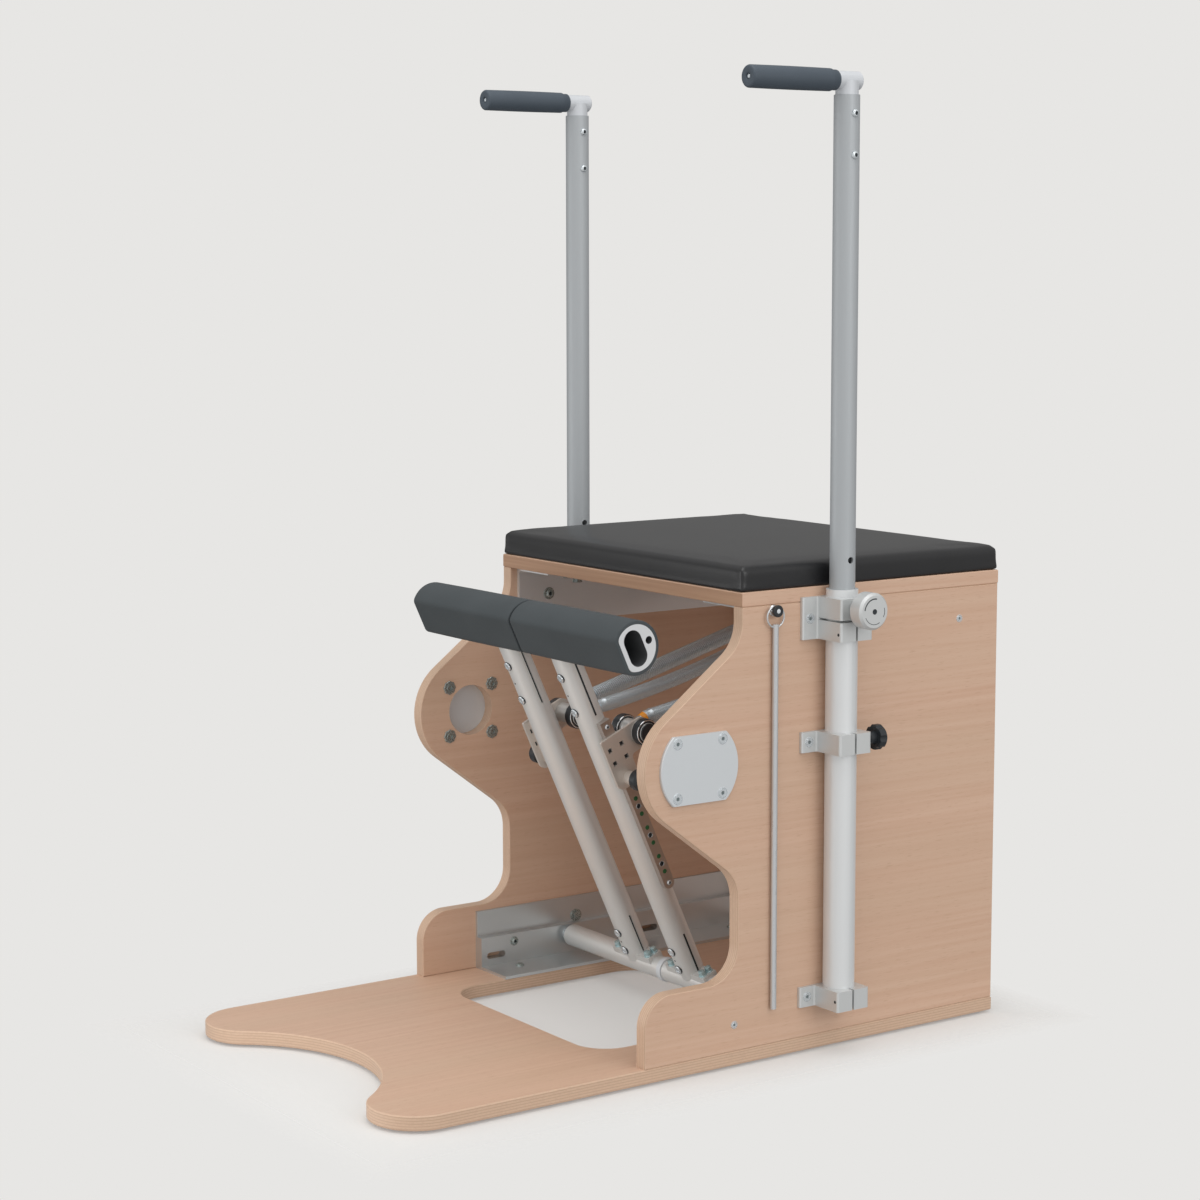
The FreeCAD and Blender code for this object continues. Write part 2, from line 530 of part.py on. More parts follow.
def spring_slider():
    corners = [
        (SLIDER_FRONT, SLIDER_TOP, SLIDER_TOP_CORNER),
        (SLIDER_TAIL, SLIDER_TOP, SLIDER_TAIL_CORNER),
        (SLIDER_TAIL, SLIDER_STEP, SLIDER_TAIL_CORNER),
        (SLIDER_BACK, SLIDER_STEP, SLIDER_INNER_CORNER),
        (SLIDER_BACK, SLIDER_BOTTOM, SLIDER_LOW_CORNER),
        (SLIDER_FRONT, SLIDER_BOTTOM, SLIDER_LOW_CORNER),
    ]
    slider = prism(corners, on_yz(SLIDER_START), X * SLIDER_THICKNESS)
    lip_low, lip_high = SLIDER_BOTTOM + SLIDER_LOW_CORNER, SLIDER_TOP - SLIDER_TOP_CORNER
    for near, far in (
        (HOLE_RAIL_FRONT - CLEAR - LIP_THICKNESS, HOLE_RAIL_FRONT - CLEAR),
        (HOLE_RAIL_BACK + CLEAR, HOLE_RAIL_BACK + CLEAR + LIP_THICKNESS),
    ):
        lip = box(vec(SLIDER_START - LIP_DEPTH, near, lip_low), vec(SLIDER_START, far, lip_high))
        slider = slider.fuse(lip)
    half = SQUARE_HOLE / 2
    for height in SQUARE_HOLE_HEIGHTS:
        for place in SQUARE_HOLE_PLACES:
            low = vec(SLIDER_START, place - half, height - half)
            high = vec(SLIDER_START + SLIDER_THICKNESS, place + half, height + half)
            slider = slider.cut(box(low, high))
    barrel_start = vec(SLIDER_START, PLUNGER_Y, PLUNGER_HEIGHT)
    barrel_length = SLIDER_THICKNESS + BARREL_LENGTH
    slider = slider.fuse(rod(BARREL_RADIUS, barrel_start, X, barrel_length))
    slider = slider.cut(rod(PLUNGER_RADIUS + FIT, barrel_start, X, barrel_length))
    hub_hole = rod(HUB_RADIUS + FIT, vec(SLIDER_START, HUB_BACK, HUB_HEIGHT), X, SLIDER_THICKNESS)
    return slider.cut(hub_hole).removeSplitter()


def slider_plunger():
    pull = SLIDER_START + SLIDER_THICKNESS + BARREL_LENGTH + CLEAR
    plunger = turned([
        (SLIDER_START + CLEAR, PLUNGER_RADIUS, 0),
        (pull, PLUNGER_RADIUS, 0),
        (pull, PULL_RADIUS, SMALL_BEVEL),
        (pull + PULL_LENGTH, PULL_RADIUS, KNOB_BEVEL),
    ])
    return moved(plunger, vec(0, PLUNGER_Y, PLUNGER_HEIGHT))


def spring_hub():
    inner_face = INNER_SPRING_X - EYE_WIDTH / 2 - CLEAR
    sleeve_start = INNER_SPRING_X + EYE_WIDTH / 2 + CLEAR
    sleeve_end = SLIDER_START - CLEAR
    outer_face = OUTER_SPRING_X + EYE_WIDTH / 2 + CLEAR
    hub = turned([
        (inner_face - HUB_CAP, HUB_CAP_RADIUS, SMALL_BEVEL),
        (inner_face, HUB_CAP_RADIUS, 0),
        (inner_face, HUB_RADIUS, 0),
        (sleeve_start, HUB_RADIUS, 0),
        (sleeve_start, HUB_SLEEVE_RADIUS, 0),
        (sleeve_end, HUB_SLEEVE_RADIUS, 0),
        (sleeve_end, HUB_RADIUS, 0),
        (outer_face, HUB_RADIUS, 0),
        (outer_face, HUB_CAP_RADIUS, 0),
        (outer_face + HUB_CAP, HUB_CAP_RADIUS, SMALL_BEVEL),
    ])
    return moved(hub, vec(0, HUB_BACK, HUB_HEIGHT))


# Springs, drawn along +Y from the hub and then turned towards the anchor bar

lean = math.radians(LEAN)
HUB_Y = AXLE_Y + HUB_BACK * math.cos(lean) - HUB_HEIGHT * math.sin(lean)
HUB_Z = AXLE_Z + HUB_BACK * math.sin(lean) + HUB_HEIGHT * math.cos(lean)
SPRING_LENGTH = math.hypot(ANCHOR_Y - HUB_Y, ANCHOR_Z - HUB_Z)
SPRING_SLOPE = math.degrees(math.atan2(ANCHOR_Z - HUB_Z, ANCHOR_Y - HUB_Y))


def in_spring(shape, x):
    shape.rotate(ORIGIN, X, SPRING_SLOPE)
    return moved(shape, vec(x, HUB_Y, HUB_Z))


def front_end():
    """The eye of a spring on its hub, and the stem that flares to where the wire comes out of it."""
    half = EYE_WIDTH / 2
    eye = turned([(-half, EYE_RADIUS, EYE_EDGE), (half, EYE_RADIUS, EYE_EDGE)])
    stem = rod(STEM_RADIUS, ORIGIN, Y, STEM_END)
    flare_end = COIL_RADIUS + WIRE / 2
    flare = Part.makeCone(STEM_RADIUS, flare_end, FRONT_END - STEM_END, vec(0, STEM_END, 0), Y)
    end = eye.fuse([stem, flare])
    return end.cut(rod(HUB_RADIUS + FIT, vec(-half, 0, 0), X, EYE_WIDTH)).removeSplitter()


def rear_end():
    """The tapered neck at the back of a spring, and its ring on the anchor bar."""
    half = RING_WIDTH / 2
    ring = turned([(-half, RING_RADIUS, EYE_EDGE), (half, RING_RADIUS, EYE_EDGE)])
    neck_length = REAR_END - RING_RADIUS / 2
    neck = Part.makeCone(COIL_RADIUS + WIRE / 2, NECK_RADIUS, neck_length, vec(0, -REAR_END, 0), Y)
    end = ring.fuse(neck)
    end = end.cut(rod(ANCHOR_RADIUS + CLEAR, vec(-EYE_RADIUS, 0, 0), X, 2 * EYE_RADIUS)).removeSplitter()
    return moved(end, vec(0, SPRING_LENGTH, 0))


def arc_to(start, control, end):
    """The arc from start to end whose end tangents meet at control, at the same distance from both."""
    chord_middle = (start + end) * 0.5
    half_chord = (end - start).Length / 2
    side = (control - start).Length
    top = chord_middle + (control - chord_middle) * (half_chord / (half_chord + side))
    return Part.Arc(start, top, end).toShape()


def biarc(start, heading, end, leaving):
    """Two arcs that leave start along heading, touch, and reach end along leaving."""
    across = end - start
    square = 2 * (heading.dot(leaving) - 1)
    single = -2 * across.dot(heading + leaving)
    constant = across.dot(across)
    reach = (-single - math.sqrt(single ** 2 - 4 * square * constant)) / (2 * square)
    first = start + heading * reach
    second = end - leaving * reach
    middle = (first + second) * 0.5
    return [arc_to(start, first, middle), arc_to(middle, second, end)]


def coil_path(length):
    """The wire's middle line along +Z: a straight lead, a bend, the turns, a bend and a straight lead."""
    height = length - 2 * COIL_LEAD
    slope = math.atan2(height, 2 * math.pi * COIL_RADIUS * COIL_TURNS)
    halves = 2 * COIL_TURNS

    def place(half):
        angle = half * math.pi
        rise = COIL_LEAD + height * half / halves
        return vec(COIL_RADIUS * math.cos(angle), COIL_RADIUS * math.sin(angle), rise)

    def heading(half):
        angle = half * math.pi
        flat = math.cos(slope)
        return vec(-math.sin(angle) * flat, math.cos(angle) * flat, math.sin(slope))

    aside = COIL_BEND_RADIUS * (1 - math.sin(slope))
    bend_rise = COIL_BEND_RADIUS * math.cos(slope)
    tangent = COIL_BEND_RADIUS * math.tan(math.pi / 4 - slope / 2)
    first_bend = vec(COIL_RADIUS, -aside, COIL_LEAD - bend_rise)
    last_bend = vec(COIL_RADIUS, aside, length - COIL_LEAD + bend_rise)
    edges = [Part.LineSegment(vec(COIL_RADIUS, -aside, 0), first_bend).toShape()]
    edges.append(arc_to(first_bend, first_bend + Z * tangent, place(0)))
    for half in range(halves):
        edges += biarc(place(half), heading(half), place(half + 1), heading(half + 1))
    edges.append(arc_to(place(halves), last_bend - Z * tangent, last_bend))
    edges.append(Part.LineSegment(last_bend, vec(COIL_RADIUS, aside, length)).toShape())
    return edges


def least_gap(edges):
    """The least space between stretches of the wire that are at least half a turn apart."""
    points = []
    for edge in edges:
        points += edge.discretize(GAP_SAMPLES_PER_ARC)[:-1]
    apart = 2 * GAP_SAMPLES_PER_ARC
    nearest = min(
        (points[second] - points[first]).Length
        for first in range(len(points))
        for second in range(first + apart, len(points))
    )
    return nearest - WIRE


def coil(length):
    """A spring's wire as one unbroken run, with a few flats round it that keep it light."""
    edges = coil_path(length)
    print("least gap in the spring's wire, mm:", round(least_gap(edges), 2))
    start = edges[0].Vertexes[0].Point
    ring = []
    for flat in range(WIRE_FLATS + 1):
        angle = 2 * math.pi * flat / WIRE_FLATS
        ring.append(start + vec(math.cos(angle), math.sin(angle), 0) * (WIRE / 2))
    shell = Part.BRepOffsetAPI.MakePipeShell(Part.Wire(edges))
    shell.add(Part.makePolygon(ring))
    shell.build()
    shell.makeSolid()
    wire = shell.shape()
    wire.rotate(ORIGIN, X, -90)
    return moved(wire, vec(0, FRONT_END, 0))


def spring_pieces():
    """The front ends and the springs of both pedals. All springs are wound the same way."""
    wire = coil(SPRING_LENGTH - FRONT_END - REAR_END)
    made = {}
    for name, side in (("left", -1), ("right", 1)):
        places = (side * INNER_SPRING_X, side * OUTER_SPRING_X)
        made["spring_front_ends_" + name] = Part.makeCompound([in_spring(front_end(), x) for x in places])
        wires = [in_spring(wire.copy(), x) for x in places]
        made["springs_" + name] = Part.makeCompound(wires + [in_spring(rear_end(), x) for x in places])
    return made


# Handles

def handle_post():
    start = vec(POST_X, POST_Y, POST_BOTTOM)
    post = tube(POST_RADIUS, POST_BORE, start, Z, POST_TOP - POST_BOTTOM)
    for step in range(-INDEX_BELOW, INDEX_ABOVE + 1):
        hole_start = vec(POST_X - POST_RADIUS, POST_Y, LOCK_Z + step * INDEX_STEP)
        post = post.cut(rod(INDEX_RADIUS, hole_start, X, 2 * POST_RADIUS))
    return post


def handle_tee():
    bar = turned([(GRIP_FRONT + GRIP_CAP, BAR_RADIUS, 0), (BAR_END, BAR_RADIUS, BAR_EDGE)])
    bar.rotate(ORIGIN, Z, 90)
    bar = moved(bar, vec(POST_X, 0, BAR_Z))
    spigot = rod(SPIGOT_RADIUS, vec(POST_X, POST_Y, POST_TOP), Z, BAR_Z - POST_TOP)
    plug_start = vec(POST_X, POST_Y, POST_PLUG_BOTTOM)
    plug = rod(POST_BORE - PLUG_GAP, plug_start, Z, POST_TOP - POST_PLUG_BOTTOM)
    return bar.fuse([spigot, plug]).removeSplitter()


def handle_grip():
    outside = turned([
        (GRIP_FRONT, GRIP_RADIUS, GRIP_EDGE),
        (COLLAR_START, GRIP_RADIUS, SMALL_BEVEL),
        (COLLAR_START, COLLAR_RADIUS, 0),
        (GRIP_BACK, COLLAR_RADIUS, 0),
    ])
    inside = rod(BAR_RADIUS, vec(GRIP_FRONT + GRIP_CAP, 0, 0), X, GRIP_BACK - GRIP_FRONT)
    grip = outside.cut(inside)
    grip.rotate(ORIGIN, Z, 90)
    grip = moved(grip, vec(POST_X, 0, BAR_Z))
    return grip.cut(rod(SPIGOT_RADIUS + FIT, vec(POST_X, POST_Y, POST_TOP), Z, BAR_Z - POST_TOP))


def lock_knob():
    face = CLAMP_END + CLEAR
    knob = turned([
        (LOCK_PIN_START, LOCK_PIN_RADIUS, SMALL_BEVEL),
        (face, LOCK_PIN_RADIUS, 0),
        (face, LOCK_NECK_RADIUS, SMALL_BEVEL),
        (LOCK_NECK_END, LOCK_NECK_RADIUS, 0),
        (LOCK_NECK_END + LOCK_FLARE, LOCK_RADIUS, SMALL_BEVEL),
        (LOCK_END, LOCK_RADIUS, KNOB_BEVEL),
    ])
    return moved(knob, vec(0, POST_Y, LOCK_Z))


def star_knob():
    face = CLAMP_BACK + CLEAR
    knob = turned([
        (STAR_SCREW_START, STAR_SCREW_RADIUS, 0),
        (face, STAR_SCREW_RADIUS, 0),
        (face, STAR_BOSS_RADIUS, 0),
        (STAR_FACE, STAR_BOSS_RADIUS, 0),
        (STAR_FACE, STAR_RADIUS, SMALL_BEVEL),
        (STAR_END, STAR_RADIUS, KNOB_BEVEL),
    ])
    for lobe in range(STAR_LOBES):
        angle = 2 * math.pi * lobe / STAR_LOBES
        reach = STAR_RADIUS + STAR_NOTCH_RADIUS / 2
        notch_start = vec(STAR_FACE, reach * math.cos(angle), reach * math.sin(angle))
        knob = knob.cut(rod(STAR_NOTCH_RADIUS, notch_start, X, STAR_END - STAR_FACE))
    knob.rotate(ORIGIN, Z, 90)
    return moved(knob, vec(STAR_X, 0, STAR_Z))


def coupling_rod():
    ring_z = HOOK_Z + HOOK_RADIUS + CLEAR - (RING_MIDDLE_RADIUS - RING_WIRE_RADIUS)
    ring = Part.makeTorus(RING_MIDDLE_RADIUS, RING_WIRE_RADIUS, vec(ROD_X, HOOK_Y, ring_z), X)
    rod_top = ring_z - RING_MIDDLE_RADIUS + RING_SUNK
    straight = rod(ROD_RADIUS, vec(ROD_X, HOOK_Y, ROD_BOTTOM), Z, rod_top - ROD_BOTTOM)
    return ring.fuse(straight).removeSplitter()


def one_of_each():
    return {
        "base_board": base_board(),
        "top_board": top_board(),
        "back_panel": back_panel(),
        "seat_cushion": seat_cushion(),
        "base_feet": base_feet(),
        "tee_nuts": tee_nuts(),
        "pedal_axle": pedal_axle(),
        "axle_spacer": axle_spacer(),
        "spring_anchor_bar": anchor_bar(),
        "rod_hook": rod_hook(),
        "coupling_rod": coupling_rod(),
    }


def one_on_each_side():
    return {
        "side_panel": side_panel(),
        "cover_plate": cover_plate(),
        "base_rail": base_rail(),
        "top_rail": top_rail(),
        "upper_clamp": upper_clamp(),
        "middle_clamp": middle_clamp(),
        "lower_clamp": lower_clamp(),
        "post_sleeve": post_sleeve(),
        "pad_core": in_pedal(pad_core()),
        "pad_cover": in_pedal(pad_cover()),
        "pedal_arm": in_pedal(pedal_arm()),
        "pivot_sleeve": in_pedal(pivot_sleeve()),
        "arm_saddle": in_pedal(arm_saddle()),
        "hole_rail": in_pedal(hole_rail()),
        "spring_slider": in_pedal(spring_slider()),
        "slider_plunger": in_pedal(slider_plunger()),
        "spring_hub": in_pedal(spring_hub()),
        "handle_post": handle_post(),
        "handle_tee": handle_tee(),
        "handle_grip": handle_grip(),
        "lock_knob": lock_knob(),
        "star_knob": star_knob(),
    }


pieces = one_of_each()
for name, shape in one_on_each_side().items():
    pieces[name + "_right"] = shape
    pieces[name + "_left"] = mirrored(shape)
pieces.update(spring_pieces())

os.makedirs("parts", exist_ok=True)
for name, shape in pieces.items():
    shape.exportStep("parts/" + name + ".step")
print(len(pieces), "pieces")
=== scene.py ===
import bpy
import math
from mathutils import Matrix, Vector


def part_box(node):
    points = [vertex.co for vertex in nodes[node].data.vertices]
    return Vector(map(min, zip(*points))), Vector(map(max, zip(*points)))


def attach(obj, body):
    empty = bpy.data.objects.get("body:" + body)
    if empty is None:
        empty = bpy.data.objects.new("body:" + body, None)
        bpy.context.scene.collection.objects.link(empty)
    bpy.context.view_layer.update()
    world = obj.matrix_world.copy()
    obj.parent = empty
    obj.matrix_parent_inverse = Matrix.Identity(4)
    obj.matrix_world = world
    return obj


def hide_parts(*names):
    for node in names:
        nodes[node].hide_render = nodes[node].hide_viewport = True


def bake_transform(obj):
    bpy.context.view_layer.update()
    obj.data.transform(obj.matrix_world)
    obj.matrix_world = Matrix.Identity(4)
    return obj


# The looks of a pilates chair: finishes for its CAD nodes, its soft and wound pieces, its fasteners, the
# light and the camera. Lengths are in millimetres until a mesh is made of them. Those of meshes, materials,
# floor, light and camera are in metres.

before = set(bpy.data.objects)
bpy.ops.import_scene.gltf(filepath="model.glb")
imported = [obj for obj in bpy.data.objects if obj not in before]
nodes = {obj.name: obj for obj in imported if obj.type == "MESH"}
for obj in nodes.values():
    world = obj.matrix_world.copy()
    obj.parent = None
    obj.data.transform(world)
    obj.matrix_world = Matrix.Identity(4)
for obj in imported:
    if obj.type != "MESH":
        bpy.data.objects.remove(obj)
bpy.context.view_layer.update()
MM = 0.001
SIDES = (("left", -1), ("right", 1))
RIGHT, BACKWARD, FORWARD = Vector((1, 0, 0)), Vector((0, 1, 0)), Vector((0, -1, 0))
UP, DOWN = Vector((0, 0, 1)), Vector((0, 0, -1))

# Camera, solved on the corners of the box in the photograph
CAMERA_PLACE = (2.8099, -1.9456, 0.9979)
CAMERA_YAW, CAMERA_PITCH, CAMERA_ROLL = 55.166, 7.317, -0.11
SENSOR_WIDTH, LENS = 36.0, 80.1

# Pedals, springs and handles, as in the CAD model
AXLE_Y, AXLE_Z, LEAN = 119.2, 51.0, math.radians(24.55)
ARM_X, ARM_RADIUS = 61.0, 17.5
PAD_START, PAD_END, PAD_HEIGHT, PAD_SET_BACK = 2.0, 233.5, 529.0, 1.0
PAD_RADIUS, PAD_FLAT, PAD_COVER, PAD_EDGE_RADIUS = 32.0, 22.0, 3.0, 9.0
RAIL_FACE, RAIL_HOLE_Y, FIRST_RAIL_HOLE, RAIL_HOLE_STEP, RAIL_HOLES = 87.0, 4.0, 186.0, 44.0, 5
HUB_HEIGHT, HUB_BACK = 362.0, 46.0
ANCHOR_Y, ANCHOR_Z = 414.0, 511.0
INNER_SPRING_X, OUTER_SPRING_X = 53.0, 98.0
FRONT_END, REAR_END = 44.0, 36.0
POST_X, POST_Y, POST_RADIUS = 289.0, 174.0, 16.0
CLAMP_FRONT, FLANGE_FACE, FLANGE_MIDDLE = 148.5, 273.0, 136.5
LOCK_FACE, LOCK_Z = 351.0, 568.0
STAR_X, STAR_Z, STAR_END = 309.0, 403.0, 222.0
HOOK_END, HOOK_Y, HOOK_Z = 278.0, 82.0, 568.0
GRIP_FRONT, GRIP_RADIUS, GRIP_Z = 21.7, 13.7, 1209.0
COLLAR_START, COLLAR_RADIUS, BAR_RADIUS = 147.0, 12.3, 11.3


# Colours and finishes

# Places of the colours among the sockets of a Mix node
MIX_FIRST, MIX_SECOND, MIX_RESULT = 6, 7, 2


def shade(red, green, blue):
    """A linear colour from its values on the screen, 0 to 255."""
    return tuple(((value / 255 + 0.055) / 1.055) ** 2.4 for value in (red, green, blue)) + (1.0,)


class Finish:
    """A procedural material in the making, with short ways to add and join its nodes."""

    def __init__(self, name, colour, roughness, metallic=0.0):
        self.material = bpy.data.materials.new(name)
        self.material.use_nodes = True
        self.tree = self.material.node_tree
        self.shader = self.tree.nodes["Principled BSDF"]
        self.shader.inputs["Base Color"].default_value = colour
        self.shader.inputs["Roughness"].default_value = roughness
        self.shader.inputs["Metallic"].default_value = metallic
        self.place = self.add("ShaderNodeTexCoord").outputs["Object"]

    def add(self, kind, **settings):
        """A new node with its settings."""
        made = self.tree.nodes.new(kind)
        for name, value in settings.items():
            setattr(made, name, value)
        return made

    def feed(self, source, target):
        """Joins a socket to another, or sets it to a value."""
        if hasattr(source, "links"):
            self.tree.links.new(source, target)
        else:
            target.default_value = source

    def noise(self, stretch, detail=3.0):
        """Noise with so many spots per metre along each axis."""
        mapping = self.add("ShaderNodeMapping")
        mapping.inputs["Scale"].default_value = stretch
        self.feed(self.place, mapping.inputs["Vector"])
        texture = self.add("ShaderNodeTexNoise")
        texture.inputs["Scale"].default_value = 1.0
        texture.inputs["Detail"].default_value = detail
        self.feed(mapping.outputs["Vector"], texture.inputs["Vector"])
        return texture.outputs["Fac"]

    def math(self, operation, first, second=0.0):
        made = self.add("ShaderNodeMath", operation=operation)
        self.feed(first, made.inputs[0])
        self.feed(second, made.inputs[1])
        return made.outputs[0]

    def spread(self, value, low, high, first=0.0, last=1.0):
        """A value's range from low to high, spread over first to last."""
        made = self.add("ShaderNodeMapRange")
        self.feed(value, made.inputs["Value"])
        for name, number in (("From Min", low), ("From Max", high), ("To Min", first), ("To Max", last)):
            made.inputs[name].default_value = number
        return made.outputs["Result"]

    def mix(self, share, first, second):
        made = self.add("ShaderNodeMix", data_type="RGBA")
        self.feed(share, made.inputs[0])
        self.feed(first, made.inputs[MIX_FIRST])
        self.feed(second, made.inputs[MIX_SECOND])
        return made.outputs[MIX_RESULT]

    def axis(self, vector, name):
        made = self.add("ShaderNodeSeparateXYZ")
        self.feed(vector, made.inputs[0])
        return made.outputs[name]

    def bump(self, height, strength, distance):
        made = self.add("ShaderNodeBump")
        made.inputs["Strength"].default_value = strength
        made.inputs["Distance"].default_value = distance
        self.feed(height, made.inputs["Height"])
        self.feed(made.outputs["Normal"], self.shader.inputs["Normal"])

    def colour(self, source):
        self.feed(source, self.shader.inputs["Base Color"])

    def gloss(self, source):
        self.feed(source, self.shader.inputs["Roughness"])


PLY_LAYER = 3.4
GRAIN_STRETCH = {"X": (3.0, 150.0, 150.0), "Y": (150.0, 3.0, 150.0)}
FLECK_ALONG, FLECK_ACROSS = 60.0, 900.0
SPECKLE_STRETCH, BAND_STRETCH = (330.0, 330.0, 330.0), (4.0, 300.0, 300.0)
VENEER, VENEER_DARK, VENEER_LIGHT = shade(203, 168, 143), shade(203, 165, 140), shade(212, 178, 154)
VENEER_CLOUD, VENEER_FLECK = shade(204, 173, 148), shade(172, 132, 106)
PLY_PALE, PLY_LINE, PLY_SPECKLE = shade(206, 176, 151), shade(166, 131, 107), shade(192, 160, 136)
# Tones of the top board's edge band, darkened as painted shade
BAND_DARK, BAND_LIGHT = shade(168, 130, 103), shade(182, 145, 117)
COVER_STRETCH, PLASTIC_STRETCH = (9.0, 9.0, 9.0), (700.0, 700.0, 700.0)


def beech(name, thickness, grain, banded=False):
    """Beech plywood: veneer with fine streaks and flecks on its faces, and thin dark layers on its edges.

    A banded board has streaked wood on its front edge, in a darker tone that is painted shade.
    """
    look = Finish(name, VENEER, 0.5)
    along = GRAIN_STRETCH[grain]
    fleck_stretch = tuple(FLECK_ALONG if value < 10 else FLECK_ACROSS for value in along)
    cloud_stretch = tuple(value / 10 for value in along)
    streaks = look.spread(look.noise(along), 0.3, 0.7)
    veneer = look.mix(streaks, VENEER_DARK, VENEER_LIGHT)
    clouds = look.spread(look.noise(cloud_stretch, 2.0), 0.35, 0.7, 0.0, 0.6)
    veneer = look.mix(clouds, veneer, VENEER_CLOUD)
    flecks = look.spread(look.noise(fleck_stretch, 2.0), 0.60, 0.72, 0.0, 0.3)
    veneer = look.mix(flecks, veneer, VENEER_FLECK)
    depth = look.math("MULTIPLY", look.axis(look.place, thickness), 1 / (PLY_LAYER * MM))
    within_layer = look.math("PINGPONG", look.math("FRACT", depth), 0.5)
    edge = look.mix(look.spread(within_layer, 0.3, 0.46, 0.0, 0.55), PLY_PALE, PLY_LINE)
    speckle = look.spread(look.noise(SPECKLE_STRETCH), 0.45, 0.65, 0.0, 0.4)
    edge = look.mix(speckle, edge, PLY_SPECKLE)
    geometry = look.add("ShaderNodeNewGeometry")
    if banded:
        frontal = look.math("ABSOLUTE", look.axis(geometry.outputs["Normal"], "Y"))
        band_streaks = look.spread(look.noise(BAND_STRETCH), 0.3, 0.7)
        band = look.mix(band_streaks, BAND_DARK, BAND_LIGHT)
        edge = look.mix(look.spread(frontal, 0.6, 0.9), veneer, band)
    facing = look.math("ABSOLUTE", look.axis(geometry.outputs["Normal"], thickness))
    look.colour(look.mix(look.spread(facing, 0.85, 0.95), edge, veneer))
    look.gloss(look.spread(flecks, 0.0, 0.3, 0.46, 0.58))
    look.bump(look.noise(fleck_stretch, 2.0), 0.08, 0.2 * MM)
    return look.material


def metal(name, colour, roughness, stretch, metallic=1.0, variation=0.06):
    """Metal with the fine lines of its drawing or turning."""
    look = Finish(name, colour, roughness, metallic)
    lines = look.noise(stretch, 4.0)
    look.gloss(look.spread(lines, 0.3, 0.7, roughness - variation, roughness + variation))
    look.bump(lines, variation * 0.8, 0.05 * MM)
    return look.material


def skin(name, dark, light, roughness, grain, bump):
    """A soft cover with a fine grain and a slight unevenness of tone."""
    look = Finish(name, dark, roughness)
    look.colour(look.mix(look.spread(look.noise(COVER_STRETCH), 0.35, 0.65), dark, light))
    fine = look.noise((grain, grain, grain), 4.0)
    look.gloss(look.spread(fine, 0.3, 0.7, roughness - 0.05, roughness + 0.06))
    look.bump(fine, bump, 0.4 * MM)
    return look.material


def plastic(name, colour, roughness):
    """Plain plastic or rubber with a faint grain."""
    look = Finish(name, colour, roughness)
    fine = look.noise(PLASTIC_STRETCH, 2.0)
    look.gloss(look.spread(fine, 0.3, 0.7, roughness - 0.04, roughness + 0.04))
    look.bump(fine, 0.05, 0.1 * MM)
    return look.material


# Noise stretches of the metals: fine spots, or lines along one axis
SPOTS, WIRE_SPOTS = (600.0, 600.0, 600.0), (4000.0, 4000.0, 4000.0)
UPRIGHT_LINES, ARM_LINES, RAIL_LINES = (500.0, 500.0, 12.0), (400.0, 400.0, 12.0), (500.0, 8.0, 500.0)
PLATE_LINES, CROSS_LINES, TURNED_LINES = (8.0, 300.0, 300.0), (60.0, 400.0, 400.0), (900.0, 30.0, 30.0)
beech_panel = beech("beech_panel", "X", "Y")
beech_board = beech("beech_board", "Z", "Y")
beech_back = beech("beech_back", "Y", "X")
beech_top = beech("beech_top", "Z", "Y", True)
vinyl = skin("charcoal_vinyl", shade(23, 23, 25), shade(28, 28, 30), 0.31, 1400.0, 0.12)
foam = skin("slate_foam", shade(62, 68, 71), shade(67, 73, 76), 0.75, 1100.0, 0.2)
grip_foam = skin("grip_foam", shade(64, 74, 84), shade(70, 80, 90), 0.6, 1100.0, 0.2)
post_metal = metal("post_aluminium", shade(174, 178, 181), 0.52, UPRIGHT_LINES, 0.3)
tee_metal = metal("tee_aluminium", shade(202, 205, 209), 0.5, SPOTS, 0.2)
sleeve_metal = metal("sleeve_aluminium", shade(225, 227, 228), 0.45, UPRIGHT_LINES, 0.45)
arm_metal = metal("arm_aluminium", shade(218, 218, 216), 0.45, ARM_LINES, 0.45)
block_metal = metal("block_aluminium", shade(212, 214, 214), 0.42, SPOTS, 0.55)
rail_metal = metal("rail_aluminium", shade(206, 210, 211), 0.3, RAIL_LINES, 0.75, 0.015)
# A lighter copy of the rail aluminium for the top rails: painted light
top_rail_lit_metal = metal("top_rail_painted_light_aluminium", shade(222, 224, 225), 0.32, RAIL_LINES, 0.55, 0.015)
plate_metal = metal("plate_aluminium", shade(214, 218, 221), 0.45, PLATE_LINES, 0.4)
zinc = metal("zinc_steel", shade(214, 220, 224), 0.26, SPOTS, 0.65)
teal_zinc = metal("passivated_zinc", shade(180, 206, 210), 0.24, SPOTS, 0.5)
nut_steel = metal("nut_steel", shade(158, 166, 163), 0.28, SPOTS, 0.7)
spring_steel = metal("spring_steel", shade(208, 218, 224), 0.26, WIRE_SPOTS, 0.7)
rod_steel = metal("rod_steel", shade(206, 208, 210), 0.3, UPRIGHT_LINES, 0.7)
slider_steel = metal("slider_steel", shade(210, 202, 194), 0.36, CROSS_LINES, 0.45)
hole_rail_steel = metal("hole_rail_steel", shade(186, 178, 172), 0.34, CROSS_LINES, 0.85)
hub_steel = metal("hub_steel", shade(200, 198, 195), 0.36, TURNED_LINES, 0.5)
chrome = metal("chrome", shade(226, 228, 230), 0.12, SPOTS, 1.0, 0.03)
black = plastic("black_plastic", shade(36, 40, 44), 0.34)
rubber = plastic("black_rubber", shade(30, 30, 31), 0.7)
white = plastic("white_plastic", shade(214, 218, 222), 0.4)
# Painted shade: a dark grey for the discs and strips set in sockets, holes, slits and grooves
painted_shade = plastic("painted_recess_shade", shade(40, 46, 50), 0.6)
# Paler painted shade with a greenish painted highlight, for the sockets of the flat screws in panels and
# plates
pale_socket_shade = plastic("pale_socket_shade", shade(104, 114, 116), 0.5)
orange = plastic("orange_mark", shade(236, 150, 30), 0.5)
green = plastic("green_mark", shade(34, 92, 54), 0.5)
